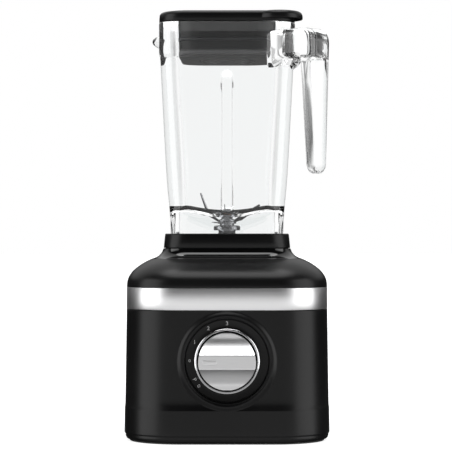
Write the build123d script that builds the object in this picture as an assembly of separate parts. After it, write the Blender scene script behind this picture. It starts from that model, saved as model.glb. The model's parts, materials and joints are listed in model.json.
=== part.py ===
from build123d import *
from collections import namedtuple
from math import atan2, degrees, hypot
import os

# Countertop blender, in millimetres. Origin on the drive axis at the resting surface.
# +Z is up, -Y is the front with the dial, +X is the right-hand side.

Section = namedtuple("Section", "z half_x half_y radius")

# ---- driving dimensions ------------------------------------------------------------
BODY_TOP_X = 89.5
BODY_TOP_Y = 96.0
BODY_RADIUS = 50.0
SKIRT_X = 91.3
SKIRT_Y = 99.0
PLATE_BOTTOM_Z = 1.2
HOUSING_BOTTOM_Z = 6.5
CREASE_Z = 30.0
BAND_BOTTOM_Z = 116.4
BAND_TOP_Z = 136.0
BAND_THICKNESS = 1.2
DECK_Z = 160.9
DECK_THICKNESS = 3.0
NECK_TOP_Z = 170.1
NECK_HALF = 57.2
NECK_RADIUS = 22.0
WALL = 2.8
BOSS_X = 69.0
BOSS_Y = 76.0
BOSS_TOP_Z = 112.0
MOUNT_HALF = 30.0

DIAL_Z = 72.4
DISH_RADIUS = 36.5
DISH_LIP_RADIUS = 41.0
DISH_FLOOR_Y = -90.0
KNOB_RADIUS = 24.8
KNOB_FACE_Y = -114.0
GRIP_HEIGHT = 12.4
BEZEL_OUTER = 29.0
BEZEL_INNER = 26.0
SPINDLE_RADIUS = 3.0

COLLAR_BOTTOM_Z = 170.5
COLLAR_TOP_Z = 183.4
JAR_SKIRT_Z = 174.0
JAR_RIM_Z = 372.0
JAR_RIM_HALF = 60.8
JAR_RADIUS = 17.0
CAVITY_CHAMFER = 13.8
CAVITY_BLEND = 7.0
FLOOR_Z = 187.6
FLOOR_SLOPE = 0.38
FLOOR_THICKNESS = 4.0
CONE_THICKNESS = 3.4
HUB_RADIUS = 12.0
RIB_RADIUS = 6.0
RIB_TOP_Z = 322.0
HANDLE_ANGLE = -45.0
HANDLE_REACH = 115.0
HANDLE_TOP_Z = 364.0
HANDLE_BOTTOM_Z = 236.0
HANDLE_WIDTH_TOP = 28.0
HANDLE_WIDTH_BOTTOM = 20.0

LID_TOP_Z = 382.0
LID_RADIUS = 22.0
PLUG_BOTTOM_Z = 342.0
PLUG_HALF = 53.0
PLUG_CHAMFER = 11.6
PLUG_WALL = 2.4
FILLER_TUBE_WALL = 2.4
GASKET_LEVELS = (345.5, 357.0)
CAP_TUBE_RADIUS = 24.0
CAP_TOP_Z = 386.0
COVER_UNDER_Z = 379.0
TAB_REACH = 66.0
TAB_RADIUS = 21.0

SHAFT_RADIUS = 4.0
STACK_LOW_Z = 92.0
STACK_HIGH_Z = 132.0
SOCKET_FLOOR_Z = 165.0
RUNNING_FIT = 0.05
BODY_GAP = 0.3
BOARD_SCREWS = ((-38, -56), (38, -56), (-38, -20), (38, -20))
COLLAR_SCREW_HALF = 43.0


# ---- shape helpers -----------------------------------------------------------------
def outline(section):
    """A rounded rectangle drawn at the section's height."""
    flat = RectangleRounded(2 * section.half_x, 2 * section.half_y, section.radius)
    return Plane.XY.offset(section.z) * flat


def tapered(sections, ruled=False):
    """A solid that runs through the given sections from bottom to top."""
    return loft([outline(section) for section in sections], ruled=ruled)


def square(z, half, radius):
    """A section with the same half-width in both directions."""
    return Section(z, half, half, radius)


def cut_square(z, half, chamfer_leg, blend=CAVITY_BLEND):
    """A square whose corners are cut off at 45 degrees, with every edge of the cut blended."""
    flat = Rectangle(2 * half, 2 * half)
    flat = chamfer(flat.vertices(), chamfer_leg)
    return Plane.XY.offset(z) * fillet(flat.vertices(), blend)


def inset(sections, wall):
    """The same sections moved inward by a wall thickness."""
    return [
        Section(s.z, s.half_x - wall, s.half_y - wall, max(s.radius - wall, 1.0))
        for s in sections
    ]


def disc(radius, low, high, x=0.0, y=0.0):
    """An upright cylinder between two heights."""
    return Pos(x, y, (low + high) / 2) * Cylinder(radius, high - low)


def ring(outer, inner, low, high, x=0.0, y=0.0):
    """An upright tube between two heights."""
    return disc(outer, low, high, x, y) - disc(inner, low - 1, high + 1, x, y)


def block(center, size):
    """A box given by its centre and its size."""
    return Pos(*center) * Box(*size)


def revolved(points):
    """A solid of revolution about Z from (radius, z) points."""
    face = make_face(Polyline([(r, 0, z) for r, z in points], close=True))
    return revolve(face, Axis.Z)


def corners(x, y):
    """The four mirrored positions of one point."""
    return [(x, y), (-x, y), (-x, -y), (x, -y)]


def joined(shapes):
    """Fuse a list of touching shapes into one."""
    result = shapes[0]
    for shape in shapes[1:]:
        result = result + shape
    return result


def group(shapes):
    """Keep separate solids together in one node."""
    solids = []
    for shape in shapes:
        solids.extend(shape.solids())
    return Compound(children=solids)


def along(angle, shape):
    """Turn a shape made along +X to an angle about Z."""
    return Rot(0, 0, angle) * shape


def on_front(y, x=0.0, z=DIAL_Z):
    """A plane on the front, with its normal pointing forward."""
    return Plane(origin=(x, y, z), x_dir=(1, 0, 0), z_dir=(0, -1, 0))


def front_disc(radius, back_y, front_y, x=0.0, z=DIAL_Z):
    """A cylinder lying front to back, between two depths."""
    length = back_y - front_y
    return on_front(back_y, x, z) * Pos(0, 0, length / 2) * Cylinder(radius, length)


def front_ring(outer, inner, back_y, front_y, x=0.0, z=DIAL_Z):
    """A tube lying front to back, between two depths."""
    bore = front_disc(inner, back_y + 1, front_y - 1, x, z)
    return front_disc(outer, back_y, front_y, x, z) - bore


# ---- base: shells ------------------------------------------------------------------
def housing_sections():
    """The lower body: a plain skirt, a crease and a slightly tapering wall."""
    return [
        Section(HOUSING_BOTTOM_Z, SKIRT_X, SKIRT_Y, BODY_RADIUS),
        Section(CREASE_Z, SKIRT_X - 0.3, SKIRT_Y - 0.3, BODY_RADIUS),
        Section(CREASE_Z + 2, SKIRT_X - 0.5, SKIRT_Y - 1.0, BODY_RADIUS),
        Section(CREASE_Z + 7, SKIRT_X - 0.7, SKIRT_Y - 2.2, BODY_RADIUS),
        Section(BAND_BOTTOM_Z, BODY_TOP_X, BODY_TOP_Y, BODY_RADIUS),
    ]


def shoulder_sections():
    """The rounded shoulder from the band up to the deck."""
    profile = [
        (BAND_TOP_Z, 89.4, 50.0),
        (143.0, 88.4, 49.0),
        (150.5, 83.6, 45.0),
        (156.1, 77.0, 39.0),
        (DECK_Z, 67.9, 31.0),
    ]
    depth_extra = BODY_TOP_Y - BODY_TOP_X
    span = 89.4 - 67.9
    return [
        Section(z, half, half + depth_extra * (half - 67.9) / span, radius)
        for z, half, radius in profile
    ]


def neck_sections():
    """The concave gloss neck under the jar collar."""
    return [
        square(DECK_Z, 67.7, 31.0),
        square(163.1, 62.2, 26.5),
        square(166.8, 58.4, 23.0),
        square(NECK_TOP_Z, NECK_HALF, NECK_RADIUS),
    ]


def dial_dish(shell):
    """Add the raised lip and the round recess for the dial to the front wall."""
    lip = front_disc(DISH_LIP_RADIUS, -86.0, -98.6)
    lip = fillet(lip.edges().filter_by(GeomType.CIRCLE).sort_by(Axis.Y)[0], 2.4)
    shell = shell + lip
    shell = shell - front_disc(DISH_RADIUS, DISH_FLOOR_Y, -110.0)
    return shell - front_disc(5.0, -80.0, -110.0)


def rear_vents():
    """Louvre slots through the rear wall."""
    slots = []
    for row in range(7):
        z = 52.0 + 7.0 * row
        slots.append(block((0, SKIRT_Y, z), (62, 16, 2.6)))
    return slots


def lower_housing():
    """Moulded body shell with dial dish, rear louvres and screw bosses."""
    outer = tapered(housing_sections(), ruled=True)
    inner = tapered(inset(housing_sections(), WALL), ruled=True)
    shell = dial_dish(outer - inner)
    for slot in rear_vents():
        shell = shell - slot
    shell = shell - Pos(0, SKIRT_Y - 2, 22) * Rot(90, 0, 0) * Cylinder(6.0, 16)
    for x, y in corners(BOSS_X, BOSS_Y):
        web = Pos(x, y, 59.0) * Rot(0, 0, degrees(atan2(y, x))) * Pos(8.0, 0, 0) * Box(12.0, 2.4, 105.0)
        boss = (disc(5.0, HOUSING_BOTTOM_Z, BOSS_TOP_Z, x, y) + web) & outer
        shell = shell + (boss - disc(1.7, 0, 130, x, y))
    return shell


def trim_band():
    """Brushed aluminium band wrapped round the body."""
    low = Section(BAND_BOTTOM_Z, BODY_TOP_X, BODY_TOP_Y, BODY_RADIUS)
    high = Section(BAND_TOP_Z, BODY_TOP_X - 0.1, BODY_TOP_Y - 0.1, BODY_RADIUS)
    outer = tapered([low, high])
    inner = tapered(inset([low, high], BAND_THICKNESS))
    return outer - inner


def upper_housing():
    """Shoulder shell, with the band seat below and the motor deck on top."""
    sections = shoulder_sections()
    shell = tapered(sections)
    cavity = tapered([*inset(sections[:-1], WALL), Section(DECK_Z - DECK_THICKNESS, 67.5, 67.5, 31.0)])
    shell = shell - cavity
    seat = [
        Section(BAND_BOTTOM_Z, BODY_TOP_X, BODY_TOP_Y, BODY_RADIUS),
        Section(BAND_TOP_Z, BODY_TOP_X - 0.1, BODY_TOP_Y - 0.1, BODY_RADIUS),
    ]
    skirt = tapered(inset(seat, BAND_THICKNESS)) - tapered(inset(seat, WALL))
    shell = shell + skirt
    for x, y in corners(BOSS_X, BOSS_Y):
        post = disc(5.0, BAND_TOP_Z, DECK_Z - 2, x, y) & tapered(sections)
        shell = shell + post + disc(5.0, BOSS_TOP_Z, BAND_TOP_Z, x, y)
    for x, y in corners(MOUNT_HALF, MOUNT_HALF):
        shell = shell + disc(5.5, 154.0, DECK_Z - DECK_THICKNESS, x, y)
    return shell - disc(9.0, 150.0, 170.0)


def neck_ring():
    """Gloss neck that carries the jar collar, open in the middle."""
    outer = tapered(neck_sections())
    well = tapered([square(DECK_Z, 51.0, 17.0), square(NECK_TOP_Z, 51.0, 17.0)])
    return outer - well


def deck_seal():
    """Rubber lip seal round the shaft hole in the deck."""
    return ring(9.0, SHAFT_RADIUS + 0.4, DECK_Z - DECK_THICKNESS, DECK_Z)


def base_plate():
    """Bottom cover with a rounded rim, vents and screw holes."""
    plan = RectangleRounded(2 * (SKIRT_X - 1.0), 2 * (SKIRT_Y - 1.0), BODY_RADIUS - 1.0)
    plate = Pos(0, 0, PLATE_BOTTOM_Z) * extrude(plan, HOUSING_BOTTOM_Z - PLATE_BOTTOM_Z)
    rim = plate.faces().sort_by(Axis.Z)[0].edges()
    plate = fillet(rim, 3.6)
    plate = plate - block((0, 0, HOUSING_BOTTOM_Z), (150, 160, 5.0))
    for row in range(9):
        x = -32.0 + 8.0 * row
        plate = plate - block((x, 0, 3.0), (3.2, 60, 10))
    for x, y in corners(BOSS_X, BOSS_Y):
        post = disc(6.5, PLATE_BOTTOM_Z, HOUSING_BOTTOM_Z, x, y)
        plate = plate + post
        plate = plate - disc(2.0, 0, 20, x, y)
        plate = plate - disc(3.2, 0, 3.4, x, y)
    groove = foot_ring_body()
    return plate - groove


def foot_ring_body():
    """Rubber ring with a gap at the back for the cord and for air."""
    outer = RectangleRounded(2 * (SKIRT_X - 4.8), 2 * (SKIRT_Y - 4.8), BODY_RADIUS - 4.8)
    inner = RectangleRounded(2 * (SKIRT_X - 8), 2 * (SKIRT_Y - 8), BODY_RADIUS - 8)
    body = extrude(outer - inner, 3.0)
    return body - block((0, SKIRT_Y - 6.4, 1.5), (36, 12, 8))


def base_screws():
    """Screws that hold the base plate to the housing bosses."""
    screws = []
    for x, y in corners(BOSS_X, BOSS_Y):
        head = disc(3.1, 1.6, 3.4, x, y)
        shank = disc(1.7, 3.4, 22.0, x, y)
        cross = block((x, y, 1.6), (3.6, 0.9, 1.4)) + block((x, y, 1.6), (0.9, 3.6, 1.4))
        screws.append(head + shank - cross)
    return group(screws)


def cord_gland():
    """Gland bushing pressed into the rear wall, with a blind cord seat."""
    collar = Pos(0, SKIRT_Y + 0.5, 22) * Rot(90, 0, 0) * Cylinder(7.5, 2.4)
    barrel = Pos(0, SKIRT_Y - 5.0, 22) * Rot(90, 0, 0) * Cylinder(6.0, 13.0)
    flange = Pos(0, SKIRT_Y - 5.0, 22) * Rot(90, 0, 0) * Cylinder(8.0, 3.0)
    seat = Pos(0, SKIRT_Y - 2.0, 22) * Rot(90, 0, 0) * Cylinder(3.5, 14.0)
    housing = tapered(housing_sections(), ruled=True) - tapered(inset(housing_sections(), WALL), ruled=True)
    return (collar + flange - housing) + barrel - seat


def dial_bezel():
    """Polished metal ring standing in the dial dish."""
    body = front_ring(BEZEL_OUTER, BEZEL_INNER, DISH_FLOOR_Y, -98.4)
    front = body.edges().filter_by(GeomType.CIRCLE).sort_by(Axis.Y)[:2]
    return chamfer(front, 0.9)


# ---- base: motor and electrics -------------------------------------------------------
def bracket(z_low, z_high, arm, boss_low, boss_high):
    """A four-armed motor bracket with a bearing boss in the middle."""
    plate = disc(20.0, z_low, z_high)
    for angle in (45, 135, 225, 315):
        bar = block((arm / 2, 0, (z_low + z_high) / 2), (arm, 13, z_high - z_low))
        plate = plate + along(angle, bar + disc(6.5, z_low, z_high, arm, 0))
    plate = plate + disc(14.0, boss_low, boss_high)
    for x, y in corners(MOUNT_HALF, MOUNT_HALF):
        plate = plate - disc(2.1, z_low - 5, z_high + 5, x, y)
    return plate


def upper_motor_bracket():
    """Upper bracket, bored for the upper bearing."""
    body = bracket(146.0, 150.0, 42.4, 143.0, 152.0)
    return body - disc(11.0, 140.0, 150.5) - disc(6.0, 140.0, 160.0)


def lower_motor_bracket():
    """Lower bracket, bored for the lower bearing."""
    body = bracket(64.0, 68.0, 42.4, 61.0, 71.0)
    return body - disc(11.0, 62.5, 80.0) - disc(6.0, 50.0, 80.0)


def stator_core():
    """Laminated stack with a pole in front of and behind the armature."""
    outer = RectangleRounded(76, 76, 14)
    window = RectangleRounded(62, 62, 12)
    stack = Pos(0, 0, STACK_LOW_Z) * extrude(outer - window, STACK_HIGH_Z - STACK_LOW_Z)
    shoes = ring(25.0, 21.5, STACK_LOW_Z, STACK_HIGH_Z) & block((0, 0, 112), (42, 60, 60))
    poles = joined([block((0, side * 28.5, 112), (26, 11, 40)) for side in (-1, 1)])
    stack = stack + shoes + (poles - disc(21.5, 80, 140))
    for x, y in corners(MOUNT_HALF, MOUNT_HALF):
        stack = stack - disc(2.1, 80, 140, x, y)
    return stack


def field_coils():
    """Two enamelled copper coils, one round each pole."""
    coils = []
    for side in (-1, 1):
        outer = block((0, side * 28.2, 112), (40, 5.0, 54))
        pole = block((0, side * 28.2, 112), (26, 8.0, 40))
        coils.append(outer - pole)
    return group(coils)


def brush_holders():
    """Two insulated brush boxes on the lower bracket."""
    holders = []
    for angle in (0, 180):
        box = block((26.5, 0, 80.0), (25, 11, 13))
        bore = block((24.5, 0, 80.0), (40, 6.4, 8.4))
        foot = block((26.5, 0, 70.8), (12, 11, 5.6))
        holders.append(along(angle, box + foot - bore))
    return group(holders)


def carbon_brushes():
    """Carbon brushes resting on the commutator."""
    return group([along(angle, block((19.4, 0, 80.0), (12.4, 6.4, 8.4))) for angle in (0, 180)])


def brush_springs():
    """Spring packs behind the brushes, closed by their end plates."""
    springs = []
    for angle in (0, 180):
        coil = Pos(31.8, 0, 80) * Rot(0, 90, 0) * Cylinder(2.6, 12.4)
        plate = block((38.5, 0, 80), (1.0, 6.4, 8.4))
        springs.append(along(angle, coil + plate))
    return group(springs)


def ball_bearing(low):
    """A sealed bearing on the motor shaft."""
    bore = SHAFT_RADIUS + RUNNING_FIT
    body = ring(11.0, bore, low, low + 7)
    groove = ring(9.0, 6.0, low + 6.5, low + 8)
    return body - groove


def motor_mounts():
    """Rubber grommets between the upper bracket and the deck."""
    return group([ring(5.5, 2.1, 150.0, 154.0, x, y) for x, y in corners(MOUNT_HALF, MOUNT_HALF)])


def motor_screws():
    """Long bolts through both brackets into the deck bosses."""
    bolts = []
    for x, y in corners(MOUNT_HALF, MOUNT_HALF):
        shank = disc(2.1, 64.0, 154.0, x, y)
        head = extrude(Pos(x, y, 60.5) * RegularPolygon(4.0, 6), 3.5)
        bolts.append(shank + head)
    return group(bolts)


def fan_shroud():
    """Air duct round the cooling fan, held under the lower bracket."""
    wall = ring(48.0, 46.0, 34.0, 60.5)
    lid_plate = ring(48.0, 34.0, 58.5, 60.5)
    floor = ring(48.0, 30.0, 34.0, 36.0)
    return joined([wall, lid_plate, floor])


def control_board():
    """Circuit board with a heat sink, a capacitor and a relay."""
    board = block((0, -38.0, 20.8), (84, 44, 1.6))
    sink = block((-26, -38, 27.1), (22, 30, 11))
    for row in range(4):
        sink = sink - block((-34.5 + 5.6 * row, -38, 29.6), (2.4, 32, 9))
    capacitor = disc(7.0, 21.6, 31.0, 4, -42)
    relay = block((24, -38, 27.1), (18, 14, 11))
    body = joined([board, sink, capacitor, relay])
    for x, y in BOARD_SCREWS:
        body = body - disc(1.2, 18.0, 24.0, x, y)
    return body


def board_screws():
    """Standoff screws that hold the board on the base plate."""
    posts = []
    for x, y in BOARD_SCREWS:
        posts.append(disc(2.6, 4.0, 20.0, x, y) + disc(1.2, 20.0, 21.6, x, y) + disc(2.6, 21.6, 23.0, x, y))
    return group(posts)


def speed_switch():
    """Rotary switch body behind the dial, with its terminals."""
    body = front_disc(17.0, -66.0, -84.0)
    thread = front_disc(4.9, -84.0, -89.0)
    terminals = []
    for row in range(4):
        terminals.append(block((-10.5 + 7.0 * row, -63.0, DIAL_Z - 8), (3.0, 8.0, 0.8)))
    body = joined([body, thread, *terminals])
    return body - front_disc(SPINDLE_RADIUS + RUNNING_FIT, -74.0, -100.0)


def switch_nut():
    """Flat nut that clamps the switch behind the dish."""
    nut = extrude(on_front(-84.0) * RegularPolygon(8.0, 6), 2.0)
    return nut - front_disc(4.9, -80.0, -100.0)


# ---- rotor ---------------------------------------------------------------------------
def motor_shaft():
    """Steel shaft from the fan to the drive coupling."""
    body = disc(SHAFT_RADIUS, 38.0, SOCKET_FLOOR_Z)
    return chamfer(body.edges().sort_by(Axis.Z)[-1], 0.5)


def armature_core():
    """Laminated armature with its slots."""
    core = ring(20.5, SHAFT_RADIUS, 92.0, 132.0)
    for index in range(12):
        slot = block((19.0, 0, 112.0), (6.0, 2.2, 50.0))
        core = core - along(30.0 * index, slot)
    return core


def armature_windings():
    """Copper end turns above and below the armature."""
    top = fillet(ring(17.5, 6.0, 132.0, 140.0).edges().sort_by(Axis.Z)[-2:], 2.5)
    bottom = ring(17.5, 6.0, 91.0, 92.0)
    return group([top, bottom])


def commutator():
    """Segmented commutator that the brushes run on."""
    body = ring(12.8, SHAFT_RADIUS, 73.5, 90.5)
    for index in range(24):
        body = body - along(15.0 * index, block((12.8, 0, 80.0), (1.2, 0.5, 14.0)))
    return body


def cooling_fan():
    """Radial fan at the lower end of the shaft."""
    hub = ring(8.0, SHAFT_RADIUS, 40.0, 56.0)
    plate = ring(43.0, SHAFT_RADIUS, 40.0, 41.6)
    blades = []
    for index in range(11):
        blades.append(along(360.0 / 11 * index, Pos(26.0, 3.0, 48.5) * Rot(0, 0, 18) * Box(32, 1.6, 14)))
    return joined([hub, plate, *blades]) - disc(SHAFT_RADIUS, 30, 60)


def toothed(radius, root, teeth, width, low, high):
    """A disc with straight radial teeth standing out of it."""
    body = disc(root, low, high)
    for index in range(teeth):
        tooth = block(((root + radius) / 2 - 0.5, 0, (low + high) / 2), (radius - root + 1, width, high - low))
        body = body + along(360.0 / teeth * index, tooth)
    return body


def drive_coupling():
    """Toothed socket on the motor shaft that drives the blades."""
    cup = disc(16.0, 162.2, 172.0)
    socket = toothed(12.6, 10.0, 8, 4.6, SOCKET_FLOOR_Z, 173.0)
    hub = ring(7.0, SHAFT_RADIUS, 161.4, SOCKET_FLOOR_Z)
    return cup - socket - disc(SHAFT_RADIUS, 160.0, 171.0) + hub


# ---- dial ----------------------------------------------------------------------------
def knob():
    """Satin dial with a full-width grip bar between two concave scoops."""
    rim_y = 12.0
    grip = GRIP_HEIGHT / 2
    depth = DISH_FLOOR_Y - 1.6 - KNOB_FACE_Y
    rim = Line((KNOB_RADIUS + 1, 0), (KNOB_RADIUS + 1, rim_y))
    flat = Line(rim @ 1, (19.0, rim_y))
    scoop = TangentArc(flat @ 1, (grip, depth), tangent=(-1, 0.04))
    bar = Line(scoop @ 1, (-grip, depth))
    back = mirror(Curve() + [rim, flat, scoop], about=Plane.YZ)
    floor = Line((-KNOB_RADIUS - 1, 0), (KNOB_RADIUS + 1, 0))
    profile = make_face(Curve() + [rim, flat, scoop, bar, *back.edges(), floor])
    plane = Plane(origin=(0, DISH_FLOOR_Y - 1.6, DIAL_Z), x_dir=(0, 0, 1), z_dir=(1, 0, 0))
    slab = extrude(plane * profile, KNOB_RADIUS + 1, both=True)
    body = slab & front_disc(KNOB_RADIUS, DISH_FLOOR_Y - 1.6, KNOB_FACE_Y - 1)
    pointer = extrude(on_front(KNOB_FACE_Y, x=-15.0) * RectangleRounded(12.3, 4.5, 1.2), 0.5)
    socket = front_disc(20.0, DISH_FLOOR_Y, DISH_FLOOR_Y - 8.0)
    return body + pointer - socket


def knob_core():
    """Black plastic core inside the dial, with a D-shaped bore."""
    body = front_disc(20.0, DISH_FLOOR_Y - 1.2, DISH_FLOOR_Y - 8.0)
    return body - spindle_form(0.0)


def spindle_form(clearance):
    """The D-shaped end of the switch spindle."""
    form = front_disc(SPINDLE_RADIUS + clearance, -75.0, -97.0)
    flat = block((0, -96.0, DIAL_Z + 4.0 + clearance), (10, 12.0, 4.0))
    return form - flat


def knob_spindle():
    """Spindle from the switch into the dial."""
    return spindle_form(0.0)


def knob_clip():
    """Spring clip that holds the dial on its spindle."""
    return front_ring(4.4, SPINDLE_RADIUS, -90.4, -91.2)


# ---- jar -----------------------------------------------------------------------------
def jar_sections():
    """The jar's outside, flaring from its foot to its rim."""
    return [
        square(JAR_SKIRT_Z, 49.9, 16.0),
        square(203.0, 51.4, 16.3),
        square(232.0, 54.1, 16.6),
        square(327.0, 59.2, JAR_RADIUS),
        square(341.5, 59.9, JAR_RADIUS),
        square(344.0, JAR_RIM_HALF - 0.1, JAR_RADIUS),
        square(JAR_RIM_Z, JAR_RIM_HALF, JAR_RADIUS),
    ]


def cavity_space():
    """The jar's inside: flat walls joined across each corner by a slanted one."""
    return loft([
        cut_square(FLOOR_Z, 47.6, CAVITY_CHAMFER),
        cut_square(232.0, 49.9, CAVITY_CHAMFER),
        cut_square(327.0, 55.0, CAVITY_CHAMFER),
        cut_square(JAR_RIM_Z + 1, 56.8, CAVITY_CHAMFER),
    ])


def rib_line(z):
    """Distance from the axis to a rib's centre line at one height."""
    low, high = 204.0, 327.0
    return 52.0 + (z - low) * (58.6 - 52.0) / (high - low)


def rib():
    """One half-round rib inside the right-hand wall, with an arched top."""
    low_z = 186.0
    start = Vector(rib_line(low_z), 0, low_z)
    end = Vector(rib_line(RIB_TOP_Z), 0, RIB_TOP_Z)
    plane = Plane(origin=start, z_dir=end - start)
    shaft = extrude(plane * Circle(RIB_RADIUS), (end - start).length)
    return shaft + Pos(end) * Sphere(RIB_RADIUS)


def handle():
    """Open-ended handle moulded with the jar, hanging from its top corner."""
    outer = Polyline(
        (66.0, 332.0), (79.0, 332.0), (83.0, 339.0), (103.3, 339.0), (105.8, HANDLE_BOTTOM_Z + 6.0),
        (105.8, HANDLE_BOTTOM_Z), (HANDLE_REACH + 0.6, HANDLE_BOTTOM_Z),
        (HANDLE_REACH, HANDLE_TOP_Z), (66.0, HANDLE_TOP_Z), close=True,
    )
    side = Plane.XZ * make_face(outer)
    body = extrude(side, HANDLE_WIDTH_TOP / 2, both=True)
    width = Polyline(
        (-HANDLE_WIDTH_BOTTOM / 2, HANDLE_BOTTOM_Z - 1), (HANDLE_WIDTH_BOTTOM / 2, HANDLE_BOTTOM_Z - 1),
        (HANDLE_WIDTH_TOP / 2, 336.0), (HANDLE_WIDTH_TOP / 2, HANDLE_TOP_Z + 1),
        (-HANDLE_WIDTH_TOP / 2, HANDLE_TOP_Z + 1), (-HANDLE_WIDTH_TOP / 2, 336.0), close=True,
    )
    body = body & extrude(Plane.YZ * make_face(width), 140)
    return round_handle(body)


def round_handle(body):
    """Round the handle's corners: large at the elbow, small along its edges."""
    across = body.edges().filter_by(Axis.Y)
    elbow = [e for e in across if e.center().X > 110 and e.center().Z > 350]
    inside = [e for e in across if 100 < e.center().X < 108 and 330 < e.center().Z < 345]
    body = fillet(elbow, 11.0)
    body = fillet(body.edges().filter_by(Axis.Y).sort_by_distance(inside[0].center())[:1], 6.0)
    across = body.edges().filter_by(Axis.Y)
    ends = [e for e in across if e.center().Z < HANDLE_BOTTOM_Z + 2]
    return fillet(ends, 4.0)


def spout():
    """Pouring lip at the rear-left corner."""
    lip = Pos(82.0, 0, 355.0) * Rot(90, 0, 0) * Cylinder(6.0, 14.0)
    ends = [Pos(82.0, y, 355.0) * Sphere(6.0) for y in (-7.0, 7.0)]
    neck = block((74.0, 0, 355.0), (16.0, 14.0, 12.0))
    return joined([lip, *ends, neck])


def jar():
    """Clear jar with ribs, handle, pouring lip and a sloped floor."""
    outside = tapered(jar_sections(), ruled=True)
    bowl = revolved([
        (0, FLOOR_Z), (13.0, FLOOR_Z), (13.0, FLOOR_Z + 2.2),
        (80.0, FLOOR_Z + 2.2 + 67 * FLOOR_SLOPE), (80.0, JAR_RIM_Z + 2), (0, JAR_RIM_Z + 2),
    ])
    cavity = cavity_space() & bowl
    under = FLOOR_Z - FLOOR_THICKNESS
    cone = FLOOR_Z + 2.2 + 2 * FLOOR_SLOPE - CONE_THICKNESS
    hollow = tapered([square(JAR_SKIRT_Z - 1, 43.5, 11.0), square(205.0, 43.5, 11.0)]) & revolved([
        (0, JAR_SKIRT_Z - 2), (80.0, JAR_SKIRT_Z - 2), (80.0, cone + 65 * FLOOR_SLOPE),
        (15.0, cone), (15.0, under), (0, under),
    ])
    ribs = joined([along(90.0 * index, rib()) for index in range(4)]) & outside
    handle_part = along(HANDLE_ANGLE, handle())
    spout_part = along(HANDLE_ANGLE + 180, spout())
    body = joined([outside, handle_part, spout_part]) - cavity
    channel = along(HANDLE_ANGLE + 180, Pos(69.0, 0, 360.0) * Rot(0, 24, 0) * Cylinder(8.0, 44.0))
    body = body + (ribs & (cavity + outside)) - channel - hollow
    body = body - disc(8.0, 170.0, 200.0)
    for x, y in corners(COLLAR_SCREW_HALF, COLLAR_SCREW_HALF):
        body = body - disc(1.5, JAR_SKIRT_Z - 1, 186.0, x, y)
    return body


def jar_collar():
    """Collar under the jar, with the locating skirt that drops into the neck."""
    outer = tapered([square(COLLAR_BOTTOM_Z, 56.8, NECK_RADIUS), square(COLLAR_TOP_Z, 55.6, NECK_RADIUS)])
    skirt = tapered([square(163.4, 50.0, 16.0), square(COLLAR_BOTTOM_Z, 50.0, 16.0)])
    pocket = tapered(jar_sections()[:2], ruled=True)
    middle = tapered([square(160.0, 44.0, 11.0), square(180.0, 44.0, 11.0)])
    body = outer + skirt - pocket - middle
    body = fillet(body.faces().sort_by(Axis.Z)[-1].outer_wire().edges(), 1.0)
    for x, y in corners(COLLAR_SCREW_HALF, COLLAR_SCREW_HALF):
        body = body + (disc(5.0, 168.0, JAR_SKIRT_Z, x, y) & (outer + skirt))
        body = body - disc(1.5, 160.0, 180.0, x, y) - disc(3.0, 160.0, 168.0, x, y)
    return body


def collar_screws():
    """Screws that hold the collar to the jar."""
    screws = []
    for x, y in corners(COLLAR_SCREW_HALF, COLLAR_SCREW_HALF):
        screws.append(disc(1.5, 168.0, 185.0, x, y) + disc(3.0, 166.0, 168.0, x, y))
    return group(screws)


def jar_seal():
    """Gasket between the jar floor and the bearing housing's nut."""
    return ring(14.0, 8.0, FLOOR_Z - FLOOR_THICKNESS - 1.4, FLOOR_Z - FLOOR_THICKNESS)


def bearing_housing():
    """Flanged hub through the jar floor that carries the blade shaft."""
    flange = disc(HUB_RADIUS, FLOOR_Z, FLOOR_Z + 4.1)
    flange = fillet(flange.edges().sort_by(Axis.Z)[-1], 1.2)
    stem = disc(8.0, 174.2, FLOOR_Z)
    return flange + stem - disc(6.0, 170.0, 195.0)


def shaft_bushes():
    """Two sintered bronze bushes in the bearing housing."""
    bore = SHAFT_RADIUS + RUNNING_FIT
    return group([ring(6.0, bore, 174.2, 180.2), ring(6.0, bore, 185.7, 191.7)])


def shaft_seal():
    """Lip seal between the two bushes."""
    return ring(6.0, SHAFT_RADIUS + RUNNING_FIT, 180.8, 184.8)


def housing_nut():
    """Large nut that clamps the bearing housing to the jar floor."""
    top = FLOOR_Z - FLOOR_THICKNESS - 1.4
    nut = Pos(0, 0, top - 5.0) * extrude(RegularPolygon(14.0, 6), 5.0)
    return nut - disc(8.0, 160.0, 200.0)


# ---- blades --------------------------------------------------------------------------
Wing = namedtuple("Wing", "angle root_z path root_width tip_width")

UPPER_WINGS = (
    Wing(-8.0, 196.2, ((8.0, 0.0), (30.5, 14.6)), 11.5, 3.5),
    Wing(172.0, 196.2, ((8.0, 0.0), (17.2, 6.6), (24.4, 26.0)), 10.5, 2.5),
)
LOWER_WING = Wing(233.0, 194.4, ((7.5, 0.0), (21.5, -0.2)), 10.5, 3.5)
UPRIGHT_WING_ANGLE = 82.0
BLADE_THICKNESS = 1.6


def strip_profile(path, thickness):
    """Outline of a bent sheet strip, drawn in (radius, height)."""
    upper = []
    lower = []
    for index, (x, z) in enumerate(path):
        before = path[max(index - 1, 0)]
        after = path[min(index + 1, len(path) - 1)]
        run, rise = after[0] - before[0], after[1] - before[1]
        length = hypot(run, rise)
        normal = (-rise / length, run / length)
        upper.append((x + normal[0] * thickness / 2, z + normal[1] * thickness / 2))
        lower.append((x - normal[0] * thickness / 2, z - normal[1] * thickness / 2))
    return upper + lower[::-1]


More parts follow.
